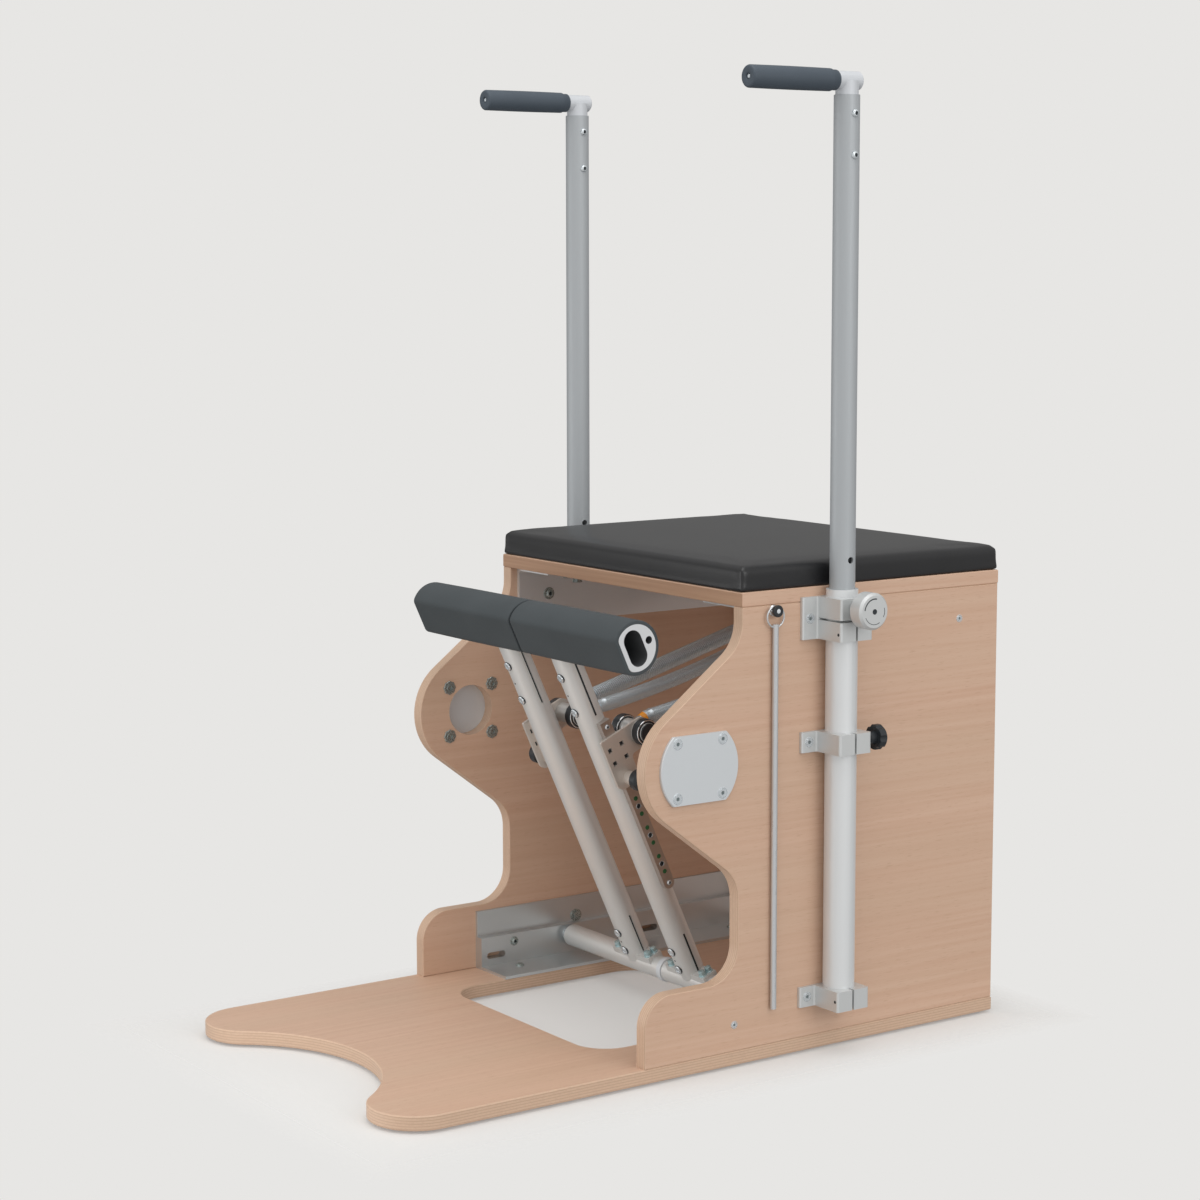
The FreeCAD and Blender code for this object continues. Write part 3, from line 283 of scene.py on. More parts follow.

# Between these distances from the middle a pad's core shows its hollow, with painted shade, and beyond them
# its sawn ends
PAD_FACE_START, PAD_FACE_END = 2.4 * MM, 233.1 * MM
PAD_CORE, PAD_CORE_BRIGHT, PAD_CORE_HOLLOW_SHADE = shade(206, 208, 210), shade(212, 214, 216), shade(92, 94, 96)


def pad_core_look():
    """The core of a pad: bright sawn ends, and painted shade on the walls of its hollow."""
    look = Finish("pad_core_aluminium", PAD_CORE, 0.5, 0.2)
    reach = look.math("ABSOLUTE", look.axis(look.place, "X"))
    past_start = look.math("GREATER_THAN", reach, PAD_FACE_START)
    before_end = look.math("LESS_THAN", reach, PAD_FACE_END)
    inside = look.math("MULTIPLY", past_start, before_end)
    # Painted shade on the walls of the hollow, with the sawn ends left bright
    look.colour(look.mix(inside, PAD_CORE_BRIGHT, PAD_CORE_HOLLOW_SHADE))
    return look.material


pad_metal = pad_core_look()

finishes = {
    "base_board": beech_board,
    "top_board": beech_top,
    "back_panel": beech_back,
    "base_feet": rubber,
    "pedal_axle": zinc,
    "axle_spacer": white,
    "spring_anchor_bar": zinc,
    "rod_hook": chrome,
    "coupling_rod": rod_steel,
    "seat_cushion": vinyl,
    "tee_nuts": zinc,
}
paired_finishes = {
    "side_panel": beech_panel,
    "cover_plate": plate_metal,
    "base_rail": rail_metal,
    "top_rail": top_rail_lit_metal,
    "upper_clamp": block_metal,
    "middle_clamp": block_metal,
    "lower_clamp": block_metal,
    "post_sleeve": sleeve_metal,
    "pad_core": pad_metal,
    "pad_cover": foam,
    "pedal_arm": arm_metal,
    "pivot_sleeve": arm_metal,
    "arm_saddle": arm_metal,
    "hole_rail": hole_rail_steel,
    "spring_slider": slider_steel,
    "slider_plunger": black,
    "spring_hub": hub_steel,
    "spring_front_ends": spring_steel,
    "springs": spring_steel,
    "handle_post": post_metal,
    "handle_tee": tee_metal,
    "handle_grip": grip_foam,
    "lock_knob": block_metal,
    "star_knob": black,
}
for name, material in paired_finishes.items():
    for side in ("left", "right"):
        finishes[name + "_" + side] = material
for name, node in nodes.items():
    if node.data.materials:
        for number in range(len(node.data.materials)):
            node.material_slots[number].material = finishes[name]
    else:
        node.data.materials.append(finishes[name])


# Mesh building

class Shape:
    """Points and faces of one mesh, gathered from several simple shapes."""

    def __init__(self):
        self.points = []
        self.faces = []

    def rings(self, rings, looped=False):
        """A skin over rings of equally many points, with closed ends or looped from the last to the first."""
        start = len(self.points)
        count = len(rings[0])
        for ring in rings:
            self.points += ring
        spans = len(rings) if looped else len(rings) - 1
        for row in range(spans):
            low = start + row * count
            high = start + ((row + 1) % len(rings)) * count
            for number in range(count):
                following = (number + 1) % count
                self.faces.append((low + number, low + following, high + following, high + number))
        if not looped:
            self.faces.append(tuple(reversed(range(start, start + count))))
            last = start + (len(rings) - 1) * count
            self.faces.append(tuple(range(last, last + count)))

    def piece(self, name, material, sharp=35.0):
        """An object of the gathered mesh, with edges left sharp from an angle on."""
        mesh = bpy.data.meshes.new(name)
        mesh.from_pydata([tuple(Vector(point) * MM) for point in self.points], [], self.faces)
        mesh.update()
        mesh.shade_smooth()
        mesh.set_sharp_from_angle(angle=math.radians(sharp))
        mesh.materials.append(material)
        made = bpy.data.objects.new(name, mesh)
        bpy.context.scene.collection.objects.link(made)
        return made


def basis(at, along, up=UP):
    """A frame at a point whose Z runs along a direction."""
    z = Vector(along).normalized()
    helper = BACKWARD if abs(z.dot(up)) > 0.95 else Vector(up)
    x = helper.cross(z).normalized()
    y = z.cross(x)
    rotation = Matrix((x, y, z)).transposed().to_4x4()
    return Matrix.Translation(at) @ rotation


def circle(place, radius, height, steps, flats=0):
    """A ring of points round the Z of a frame; flats makes it a regular polygon of that many sides."""
    ring = []
    for number in range(steps):
        angle = 2 * math.pi * number / steps
        reach = radius
        if flats:
            sector = 2 * math.pi / flats
            within = (angle + sector / 2) % sector - sector / 2
            reach = radius / math.cos(within)
        ring.append(place @ Vector((reach * math.cos(angle), reach * math.sin(angle), height)))
    return ring


def turn(shape, place, profile, steps=24):
    """A turned shape from a profile of (height, radius) or (height, radius, flats)."""
    rings = []
    for entry in profile:
        flats = entry[2] if len(entry) > 2 else 0
        rings.append(circle(place, entry[1], entry[0], steps, flats))
    shape.rings(rings)


class Screws:
    """Bright screw heads, and the painted shade in their sockets and holes and round their heads, which ride
    together.
    """

    def __init__(self):
        self.heads = Shape()
        self.shade_floors = Shape()

    def socket(self, place, height, radius):
        """Painted shade: a dark disc at the bottom of a hexagonal socket."""
        profile = [(height - 0.1, radius, 6), (height, radius, 6), (height + 0.02, 0.2)]
        turn(self.shade_floors, place, profile, 12)

    def button(self, at, along, radius, washer=0.0):
        """A domed head with a hexagonal socket that has painted shade, with or without a washer under it."""
        place = basis(at, along)
        lift = 0.0
        if washer:
            lift = 1.2
            turn(self.heads, place, [
                (-0.6, washer), (0.9, washer), (lift, washer - 0.3), (lift, radius * 0.5),
            ])
        height = radius * 0.55
        top = lift + height
        socket = radius * 0.45
        turn(self.heads, place, [
            (-0.8, radius * 0.96), (lift, radius), (lift + height * 0.4, radius * 0.97),
            (lift + height * 0.75, radius * 0.82), (top, radius * 0.62), (top, socket * 1.06, 6),
            (lift + height * 0.3, socket, 6), (lift + height * 0.25, 0.2),
        ])
        self.socket(place, lift + height * 0.45, socket)

    def flat(self, at, along, radius):
        """A countersunk head in its ring, a hair proud of its face, with a hexagonal socket that has painted
        shade.
        """
        place = basis(at, along)
        socket = radius * 0.32
        turn(self.heads, place, [
            (-0.6, radius), (0.3, radius), (0.4, radius - 0.3), (0.4, radius - 0.8),
            (-0.1, radius - 1.0), (-0.1, radius - 1.3), (0.5, radius - 1.7),
            (0.5, socket, 6), (-0.3, socket, 6), (-0.4, 0.2),
        ])
        self.socket(place, 0.1, socket)

    def disc(self, at, along, radius):
        """A flat round head with a shallow bright socket and a thin ring of painted shade round it."""
        place = basis(at, along)
        groove = radius + 0.5
        turn(self.shade_floors, place, [(-1.4, groove), (0.4, groove), (0.5, radius - 0.4), (0.5, 0.3)])
        turn(self.heads, place, [
            (-0.8, radius), (1.3, radius), (1.9, radius - 0.5), (2.1, radius - 1.2),
            (2.1, radius * 0.45, 6), (1.5, radius * 0.42, 6), (1.4, 0.2),
        ])

    def hexagon(self, at, along, radius, washer, height=0.74):
        """A hexagonal head on a washer; its height is a share of its radius."""
        place = basis(at, along)
        turn(self.heads, place, [(-0.6, washer), (1.2, washer), (1.5, washer - 0.4), (1.5, radius)])
        top = radius * height
        turn(self.heads, place, [
            (1.4, radius, 6), (top - 0.4, radius, 6), (top, radius * 0.88), (top + 0.1, 0.3),
        ])

    def hole(self, at, along, radius):
        """A small hole in a face, as a disc of painted shade that is hardly proud of it."""
        turn(self.shade_floors, basis(at, along), [(-0.4, radius), (0.06, radius), (0.08, 0.2)])

    def pieces(self, name, body, material, floor=painted_shade):
        """The heads and the painted shade as two pieces on one body."""
        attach(self.heads.piece(name, material), body)
        if self.shade_floors.points:
            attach(self.shade_floors.piece(name + "_sockets", floor), body)


def in_pedal(x, y, height):
    """Where a point of an upright pedal is in the leaned one; y and height start at the axle."""
    return Vector((
        x,
        AXLE_Y + y * math.cos(LEAN) - height * math.sin(LEAN),
        AXLE_Z + y * math.sin(LEAN) + height * math.cos(LEAN),
    ))


PEDAL_FRONT = Vector((0, -math.cos(LEAN), -math.sin(LEAN)))
PEDAL_UP = Vector((0, -math.sin(LEAN), math.cos(LEAN)))


def across(sign):
    """The way out of the chair on one of its sides."""
    return Vector((sign, 0, 0))


# Seat cushion: flush with its board, with upright sides and a low crown, let out by its filling

CUSHION_VOXEL, CUSHION_LIMIT, CUSHION_HELD = 5.0 * MM, 2.0 * MM, 3.0 * MM
CUSHION_PRESSURE, CUSHION_FRAMES = 4.0, 20
CUSHION_INSET, CUSHION_CORNER, SIDE_HEIGHT, SHOULDER_RISE, SHOULDER_WIDTH = -1.0, 3.0, 24.5, 8.5, 11.0
# Inset and height of the rings of the crown
CROWN = [(30.0, 33.9), (60.0, 34.7), (110.0, 35.3), (180.0, 35.5)]


def take_modifiers(piece):
    """Makes the outcome of a piece's modifiers its mesh."""
    graph = bpy.context.evaluated_depsgraph_get()
    piece.data = bpy.data.meshes.new_from_object(piece.evaluated_get(graph))
    piece.modifiers.clear()


def keep_above(piece, height):
    """Lifts the points of a piece that are below a height up to it."""
    for point in piece.data.vertices:
        point.co.z = max(point.co.z, height)


def cushion_ring(low, high, inset, height):
    """The cushion's outline at a height over its board, drawn in from the board's edges."""
    corner = CUSHION_CORNER + inset * 0.3
    ring = []
    for number, (across_sign, along_sign) in enumerate(((1, -1), (1, 1), (-1, 1), (-1, -1))):
        x = (high.x if across_sign > 0 else low.x) - across_sign * (inset + corner)
        y = (high.y if along_sign > 0 else low.y) - along_sign * (inset + corner)
        for step in range(7):
            angle = math.radians(90 * (number - 1) + 15 * step)
            arc_x = x + corner * math.cos(angle)
            arc_y = y + corner * math.sin(angle)
            ring.append(Vector((arc_x, arc_y, low.z + height)))
    return ring


def let_out(piece):
    """Presses the cushion's cover outwards from within, by a set step at most."""
    start = [point.co.copy() for point in piece.data.vertices]
    cloth = piece.modifiers.new("filling", "CLOTH")
    cloth.settings.vertex_group_mass = "held"
    cloth.settings.use_pressure = True
    cloth.settings.uniform_pressure_force = CUSHION_PRESSURE
    cloth.settings.effector_weights.gravity = 0.0
    cloth.point_cache.frame_start = 1
    cloth.point_cache.frame_end = CUSHION_FRAMES
    for number in range(1, CUSHION_FRAMES + 1):
        bpy.context.scene.frame_set(number)
    take_modifiers(piece)
    bpy.context.scene.frame_set(1)
    for point, before in zip(piece.data.vertices, start):
        step = point.co - before
        if step.length > CUSHION_LIMIT:
            point.co = before + step * (CUSHION_LIMIT / step.length)


def filled_cushion():
    """The cushion, from rings over its board to an even mesh that its filling lets out."""
    low, high = (Vector(corner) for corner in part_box("seat_cushion"))
    profile = [(CUSHION_INSET, SIDE_HEIGHT * step / 4) for step in range(5)]
    for degrees in (15, 30, 45, 60, 75, 90):
        angle = math.radians(degrees)
        inset = CUSHION_INSET + SHOULDER_WIDTH * (1 - math.cos(angle))
        profile.append((inset, SIDE_HEIGHT + SHOULDER_RISE * math.sin(angle)))
    profile += CROWN
    shape = Shape()
    shape.rings([cushion_ring(low / MM, high / MM, inset, height) for inset, height in profile])
    piece = shape.piece("cushion", vinyl)
    remesh = piece.modifiers.new("even", "REMESH")
    remesh.mode = "VOXEL"
    remesh.voxel_size = CUSHION_VOXEL
    take_modifiers(piece)
    keep_above(piece, low.z)
    held = piece.vertex_groups.new(name="held")
    seam = [point.index for point in piece.data.vertices if point.co.z < low.z + CUSHION_HELD]
    held.add(seam, 1.0, "REPLACE")
    let_out(piece)
    keep_above(piece, low.z)
    finer = piece.modifiers.new("finer", "SUBSURF")
    finer.levels = 1
    finer.render_levels = 1
    take_modifiers(piece)
    keep_above(piece, low.z)
    piece.data.shade_smooth()
    piece.data.materials.clear()
    piece.data.materials.append(vinyl)
    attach(piece, "frame")
    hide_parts("seat_cushion")


filled_cushion()


# Foam round the pads and the handle grips

def pad_section(x, inset):
    """The pad's round section with its flat front, drawn in by an inset, as a ring of points."""
    radius = PAD_RADIUS - inset
    flat = -PAD_FLAT + inset
    edge = PAD_EDGE_RADIUS
    edge_y = flat + edge
    edge_rise = math.sqrt((radius - edge) ** 2 - (edge_y - PAD_SET_BACK) ** 2)
    meet = math.atan2(edge_rise, edge_y - PAD_SET_BACK)
    points = []
    for number in range(49):
        angle = -meet + 2 * meet * number / 48
        points.append((PAD_SET_BACK + radius * math.cos(angle), radius * math.sin(angle)))
    for number in range(1, 7):
        angle = meet + (math.pi - meet) * number / 6
        points.append((edge_y + edge * math.cos(angle), edge_rise + edge * math.sin(angle)))
    for number in range(1, 12):
        points.append((flat, edge_rise * (1 - number / 6)))
    for number in range(0, 6):
        angle = math.pi + (math.pi - meet) * number / 6
        points.append((edge_y + edge * math.cos(angle), -edge_rise + edge * math.sin(angle)))
    return [in_pedal(x, y, PAD_HEIGHT + rise) for y, rise in points]


PAD_END_ROUND, PAD_PROUD, PAD_SWELL, PAD_STATIONS = 1.6, 1.8, 0.4, 30


def pad_cover(side, sign):
    """The foam of a pad: a tube of the pad's section with round rims, a little proud of the CAD solid."""
    rings = [pad_section(sign * PAD_START, PAD_COVER)]
    turns = [math.radians(degrees) for degrees in (0, 30, 60, 90)]
    for angle in turns:
        run = PAD_START + PAD_END_ROUND * (1 - math.cos(angle))
        rings.append(pad_section(sign * run, PAD_END_ROUND * (1 - math.sin(angle)) - PAD_PROUD))
    first = PAD_START + PAD_END_ROUND
    last = PAD_END - PAD_END_ROUND
    for number in range(1, PAD_STATIONS):
        share = number / PAD_STATIONS
        swell = PAD_PROUD + PAD_SWELL * math.sin(math.pi * share)
        rings.append(pad_section(sign * (first + (last - first) * share), -swell))
    for angle in reversed(turns):
        run = PAD_END - PAD_END_ROUND * (1 - math.cos(angle))
        rings.append(pad_section(sign * run, PAD_END_ROUND * (1 - math.sin(angle)) - PAD_PROUD))
    rings.append(pad_section(sign * PAD_END, PAD_COVER))
    shape = Shape()
    shape.rings(rings, looped=True)
    piece = shape.piece("pad_foam_" + side, foam, 60.0)
    if sign > 0:
        piece.data.flip_normals()
    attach(piece, "pedal_" + side)
    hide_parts("pad_cover_" + side)


GRIP_ROUND, GRIP_SWELL, GRIP_STATIONS, GRIP_RECESS, GRIP_COLLAR_END = 3.2, 0.3, 24, 3.4, 155.5


def grip(side, sign):
    """The foam of a grip: a round front with a screw's recess, a slight belly and a narrow collar."""
    place = basis(Vector((sign * POST_X, 0, GRIP_Z)), BACKWARD)
    profile = [
        (GRIP_FRONT + 8.0, GRIP_RECESS), (GRIP_FRONT + 1.0, GRIP_RECESS), (GRIP_FRONT, GRIP_RECESS + 1.0),
    ]
    for degrees in (0, 20, 40, 60, 80):
        angle = math.radians(degrees)
        run = GRIP_FRONT + GRIP_ROUND * (1 - math.cos(angle))
        profile.append((run, GRIP_RADIUS - GRIP_ROUND * (1 - math.sin(angle))))
    first, last = GRIP_FRONT + GRIP_ROUND, COLLAR_START - 1.0
    for number in range(GRIP_STATIONS + 1):
        share = number / GRIP_STATIONS
        belly = GRIP_RADIUS + GRIP_SWELL * math.sin(math.pi * share)
        profile.append((first + (last - first) * share, belly))
    profile += [
        (COLLAR_START - 0.2, GRIP_RADIUS - 0.4), (COLLAR_START, COLLAR_RADIUS + 0.4),
        (COLLAR_START + 0.4, COLLAR_RADIUS + 0.1), (GRIP_COLLAR_END - 0.8, COLLAR_RADIUS + 0.1),
        (GRIP_COLLAR_END, COLLAR_RADIUS - 0.6), (GRIP_COLLAR_END, BAR_RADIUS),
    ]
    shape = Shape()
    turn(shape, place, profile, 48)
    piece = shape.piece("grip_foam_" + side, grip_foam, 50.0)
    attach(piece, "handle_" + side)
    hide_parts("handle_grip_" + side)


for side, sign in SIDES:
    pad_cover(side, sign)
    grip(side, sign)


# Springs: close-wound wire between the eye on the hub and the ring on the anchor bar, hanging a little

hub_place = in_pedal(0.0, HUB_BACK, HUB_HEIGHT)
spring_run = Vector((0, ANCHOR_Y, ANCHOR_Z)) - hub_place
SPRING_LENGTH = spring_run.length
SPRING_ALONG = spring_run.normalized()
WIRE_SIDES, TURN_STEPS, TURN_PITCH = 6, 18, 1.06
COIL_START, COIL_START_RADIUS = 33.0, 7.2
RING_RADIUS, RING_BORE, RING_HALF_WIDTH, RING_CHAMFER = 14.0, 8.3, 4.5, 1.5
# Name, place, outer radius, wire, flatness of the wire and sag of each spring
SPRINGS = (
    ("inner", INNER_SPRING_X, 9.7, 1.5, 0.5, 10.0),
    ("outer", OUTER_SPRING_X, 11.0, 2.8, 0.8, 0.0),
)


def spring_place(x):
    """A frame at a spring's eye: Z runs along the spring and X across it, upwards."""
    return basis(Vector((x, hub_place.y, hub_place.z)), SPRING_ALONG, RIGHT)


def winding(shape, x, radius, wire, flatness, sag):
    """A close-wound helix: one tube with closed ends, flattened across, that widens from its stem."""
    place = spring_place(x)
    end = SPRING_LENGTH - REAR_END + 1.0
    pitch = wire * TURN_PITCH
    steps = int((end - COIL_START - wire) / pitch * TURN_STEPS)
    growth = radius - wire - COIL_START_RADIUS
    rings = []
    for number in range(steps + 1):
        angle = 2 * math.pi * number / TURN_STEPS
        rise = COIL_START + wire / 2 + pitch * number / TURN_STEPS
        widened = min((rise - COIL_START) / (FRONT_END - COIL_START), 1.0)
        reach = COIL_START_RADIUS + growth * widened + wire * (1 - flatness / 2)
        share = (rise - COIL_START) / (end - COIL_START)
        drop = Vector((-4 * sag * share * (1 - share), 0, 0))
        outward = Vector((math.cos(angle), math.sin(angle), 0))
        middle = outward * reach + Vector((0, 0, rise)) + drop
        ring = []
        for side in range(WIRE_SIDES):
            around = 2 * math.pi * side / WIRE_SIDES
            offset = outward * (math.cos(around) * flatness) + Vector((0, 0, math.sin(around)))
            ring.append(place @ (middle + offset * (wire / 2)))
        rings.append(ring)
    shape.rings(rings)


def flat_ring(shape, at, bore, radius, half_width, chamfer, steps):
    """A ring about the X axis with a flat rim and chamfered edges."""
    edge = radius - chamfer
    face = half_width - chamfer
    section = [
        (bore, -half_width), (edge, -half_width), (radius, -face),
        (radius, face), (edge, half_width), (bore, half_width),
    ]
    place = basis(at, RIGHT)
    shape.rings([circle(place, reach, height, steps) for reach, height in section], looped=True)


def rear_ring(shape, x):
    """The ring of a spring on the anchor bar and the neck that leads to it."""
    start, end = SPRING_LENGTH - REAR_END, SPRING_LENGTH
    turn(shape, spring_place(x), [
        (start - 3.0, 6.0), (start, 9.3), (start + 1.5, 9.6),
        (end - RING_RADIUS + 1.0, 8.6), (end - RING_BORE, 8.2),
    ])
    at = Vector((x, ANCHOR_Y, ANCHOR_Z))
    flat_ring(shape, at, RING_BORE, RING_RADIUS, RING_HALF_WIDTH, RING_CHAMFER, 32)


for side, sign in SIDES:
    ends = Shape()
    for name, x, radius, wire, flatness, sag in SPRINGS:
        shape = Shape()
        winding(shape, sign * x, radius, wire, flatness, sag)
        coil = shape.piece("spring_" + name + "_" + side, spring_steel, 80.0)
        place = spring_place(sign * x)
        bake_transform(coil)
        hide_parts("springs_" + side)
        rear_ring(ends, sign * x)
    rings = ends.piece("spring_rings_" + side, zinc)
    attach(rings, "spring_rear_" + side)


# Black shells and chrome rims of the eyes, caps of the hubs, and a strength mark

EYE_RADIUS, EYE_BORE, EYE_HALF_WIDTH, EYE_CHAMFER = 17.3, 9.2, 6.15, 1.6
EYE_RIM, EYE_RIM_RADIUS, CAP_GAP = 0.9, EYE_RADIUS - 1.7, 2.2
CAP_PROFILE = [(-0.4, 12.2), (0.5, 12.0), (1.1, 11.2), (1.1, 5.2), (0.4, 4.8, 6), (0.3, 0.3)]
STRENGTH_PROFILE = [(26.6, 5.0), (26.8, 6.9), (33.4, 8.4), (34.2, 7.0)]


def rim(shape, at, radius, wire):
    """A round-wire ring about the X axis."""
    place = basis(at, RIGHT)
    rings = []
    for number in range(8):
        angle = 2 * math.pi * number / 8
        rings.append(circle(place, radius + wire * math.cos(angle), wire * math.sin(angle), 36))
    shape.rings(rings, looped=True)


for side, sign in SIDES:
    shells, rims, caps = Shape(), Shape(), Shape()
    for x in (INNER_SPRING_X, OUTER_SPRING_X):
        at = Vector((sign * x, hub_place.y, hub_place.z))
        flat_ring(shells, at, EYE_BORE, EYE_RADIUS, EYE_HALF_WIDTH, EYE_CHAMFER, 48)
        for face in (-1, 1):
            rim(rims, at + Vector((face * EYE_HALF_WIDTH, 0, 0)), EYE_RIM_RADIUS, EYE_RIM)
    for eye_x, face in ((INNER_SPRING_X, -1), (OUTER_SPRING_X, 1)):
        x = eye_x + face * (EYE_HALF_WIDTH + CAP_GAP)
        place = basis(Vector((sign * x, hub_place.y, hub_place.z)), across(sign * face))
        turn(caps, place, CAP_PROFILE, 36)
    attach(shells.piece("eye_shells_" + side, black), "spring_front_" + side)
    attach(rims.piece("eye_rims_" + side, chrome, 60.0), "spring_front_" + side)
    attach(caps.piece("hub_caps_" + side, black), "hub_" + side)

strength_mark = Shape()
turn(strength_mark, spring_place(INNER_SPRING_X), STRENGTH_PROFILE, 32)
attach(strength_mark.piece("strength_mark", orange), "spring_front_right")


# Screws that stay with the box

PLATE_FACE, PLATE_SCREW_Y, PLATE_SCREW_Z = 272.0, (-66.0, 2.0), (350.5, 417.5)
PANEL_FACE, PANEL_SCREWS = 268.0, ((24.4, 54.8), (389.0, 534.0))
PANEL_INSIDE = 250.0
FLANGE_SCREW_Z = (554.0, 399.0, 73.6)
CLAMP_HOLE_X, CLAMP_HOLE_Z = 313.0, (537.0, 73.6)
BASE_RAIL_SCREW, BASE_RAIL_NUT = (235.0, 26.6, 54.3), (246.0, 138.0, 73.0)
BASE_BOLT_X, BASE_BOLT_Y, BASE_BOLT_Z = 213.0, (22.0, 390.0), 25.0
TOP_RAIL_FACE, TOP_RAIL_SCREW_Y, TOP_RAIL_SCREW_Z = 245.0, (94.0, 330.0), 536.0
CEILING_BOLT_X, CEILING_BOLT_Z, CEILING_WASHER = 195.0, 571.0, 2.0
# Y, radius, and height as a share of the radius
CEILING_BOLTS = ((90.0, 4.5, 1.9), (107.5, 6.5, 2.4))
# Radii of flat screws and of a hole, and those of heads with their washers
PLATE_SCREW, PANEL_SCREW, FLANGE_SCREW, CLAMP_HOLE = 7.0, 5.0, 6.5, 2.0
RAIL_SCREW_HEAD, RAIL_NUT_HEAD, BASE_BOLT_HEAD, TOP_RAIL_HEAD = (4.5, 6.5), (5.5, 9.0), (4.2, 6.0), (5.5, 8.5)


def sided(sign, place):
    """A place on the right side, taken to one of the two sides."""
    x, y, z = place
    return Vector((sign * x, y, z))


panel_screws, clamp_holes = Screws(), Screws()
for sign in (-1, 1):
    out = across(sign)
    for y in PLATE_SCREW_Y:
        for z in PLATE_SCREW_Z:
            panel_screws.flat(sided(sign, (PLATE_FACE, y, z)), out, PLATE_SCREW)
    for y, z in PANEL_SCREWS:
        panel_screws.flat(sided(sign, (PANEL_FACE, y, z)), out, PANEL_SCREW)
    for z in FLANGE_SCREW_Z:
        panel_screws.flat(sided(sign, (FLANGE_FACE, FLANGE_MIDDLE, z)), out, FLANGE_SCREW)
    for z in CLAMP_HOLE_Z:
        clamp_holes.hole(sided(sign, (CLAMP_HOLE_X, CLAMP_FRONT, z)), FORWARD, CLAMP_HOLE)
# The sockets of the panel and plate screws get the paler painted shade
panel_screws.pieces("panel_screws", "frame", zinc, pale_socket_shade)
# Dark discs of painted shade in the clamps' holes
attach(clamp_holes.shade_floors.piece("clamp_holes", painted_shade), "frame")

rail_screws = Screws()
for sign in (-1, 1):
    inward = across(-sign)
    rail_screws.button(sided(sign, BASE_RAIL_SCREW), inward, *RAIL_SCREW_HEAD)
    for y in BASE_BOLT_Y:
        rail_screws.hexagon(sided(sign, (BASE_BOLT_X, y, BASE_BOLT_Z)), UP, *BASE_BOLT_HEAD)
    rail_screws.hexagon(sided(sign, BASE_RAIL_NUT), inward, *RAIL_NUT_HEAD)
    for y in TOP_RAIL_SCREW_Y:
        at = sided(sign, (TOP_RAIL_FACE, y, TOP_RAIL_SCREW_Z))
        rail_screws.button(at, inward, *TOP_RAIL_HEAD)
    for y, radius, height in CEILING_BOLTS:
        at = sided(sign, (CEILING_BOLT_X, y, CEILING_BOLT_Z))
        rail_screws.hexagon(at, DOWN, radius, radius + CEILING_WASHER, height)
rail_screws.pieces("rail_screws", "frame", nut_steel)


# Height, radius and depth of the scallops
NUT_PROFILE = (
    (0.0, 9.5, 0.9), (1.1, 9.5, 0.9), (1.6, 8.8, 0.8), (1.6, 5.0, 0.0),
    (2.6, 4.6, 0.0), (2.6, 3.3, 0.0), (1.0, 3.1, 0.0), (0.9, 0.2, 0.0),
)
NUT_SCALLOPS, NUT_STEPS = 8, 48


def flower_nut(shape, at, along):
    """A tee nut's scalloped flange with the end of its screw."""
    place = basis(at, along)
    rings = []
    for height, radius, depth in NUT_PROFILE:
        ring = []
        for number in range(NUT_STEPS):
            angle = 2 * math.pi * number / NUT_STEPS
            reach = radius - depth * (0.5 - 0.5 * math.cos(NUT_SCALLOPS * angle))
            ring.append(place @ Vector((reach * math.cos(angle), reach * math.sin(angle), height)))
        rings.append(ring)
    shape.rings(rings)


nuts = Shape()
for sign in (-1, 1):
    for y in PLATE_SCREW_Y:
        for z in PLATE_SCREW_Z:
            flower_nut(nuts, sided(sign, (PANEL_INSIDE, y, z)), across(-sign))
nut_piece = nuts.piece("flower_nuts", nut_steel)
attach(nut_piece, "frame")
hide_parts("tee_nuts")


# Screws and marks that ride on the pedals and handles

ARM_SCREW_HEIGHTS, ARM_HOLE_HEIGHTS = (27.0, 55.0, 421.0, 472.0), (41.0, 446.0)
SADDLE_BOLT_X, SADDLE_BOLT_Y, SADDLE_BOLT_HEIGHT = (-34.0, 34.0), (-5.4, 5.4), 19.0
# Radii of screws and of a hole, and a bolt's radii with its height as a share of the first one
ARM_SCREW, ARM_HOLE, RAIL_SCREW, POST_SCREW, GRIP_SCREW = 5.9, 1.3, 3.4, 5.0, 2.6
SADDLE_BOLT = (4.3, 5.4, 1.6)
SLIT_HALF, SLIT_DEPTH, SLIT_REACH, SLITS = 1.2, 1.6, 2.0, ((19.5, 76.5), (410.5, 496.0))
MARK_SPACING, MARK_RADIUS = 11.5, 3.1
RAIL_HOLE_RADIUS, RAIL_HOLE_DEPTH, RAIL_HOLE_RIM, RAIL_TOP_SCREW = 3.5, 2.5, 0.35, 392.0
RAIL_FOOT_START, RAIL_FOOT_MIDDLE, RAIL_FOOT_TOP, RAIL_HALF_WIDTH = 16.5, 157.0, 161.4, 8.0
SLIDER_FLOOR, SQUARE_HALF, SQUARE_HEIGHTS, SQUARE_PLACES = 88.4, 2.95, (345.0, 364.0), (-7.0, 12.4)
POST_SCREW_Z, GRIP_SCREW_DEPTH = (1169.5, 1119.6), 3.0
KNOB_ARC_RADIUS, KNOB_ARC_LOW, KNOB_ARC_HIGH = 15.8, -0.3, 0.1
# Start, end and half width of each groove
KNOB_ARCS = ((78, 172, 0.75), (-28, 14, 0.4), (205, 300, 0.35))
KNOB_SOCKET = [(-0.3, 3.4), (0.25, 3.4), (0.4, 3.1), (0.4, 2.0, 6), (0.1, 1.8, 6), (0.05, 0.2)]
STAR_CAP = [(-0.6, 8.0), (0.5, 7.6), (0.9, 6.4), (0.9, 0.3)]
HOOK_CAP = [(-2.9, 7.5), (0.4, 7.5), (1.1, 6.7), (1.1, 3.0), (0.7, 2.8), (0.7, 0.3)]
HOOK_DOT = [(0.5, 2.8), (1.2, 2.7), (1.5, 2.0), (1.5, 0.3)]


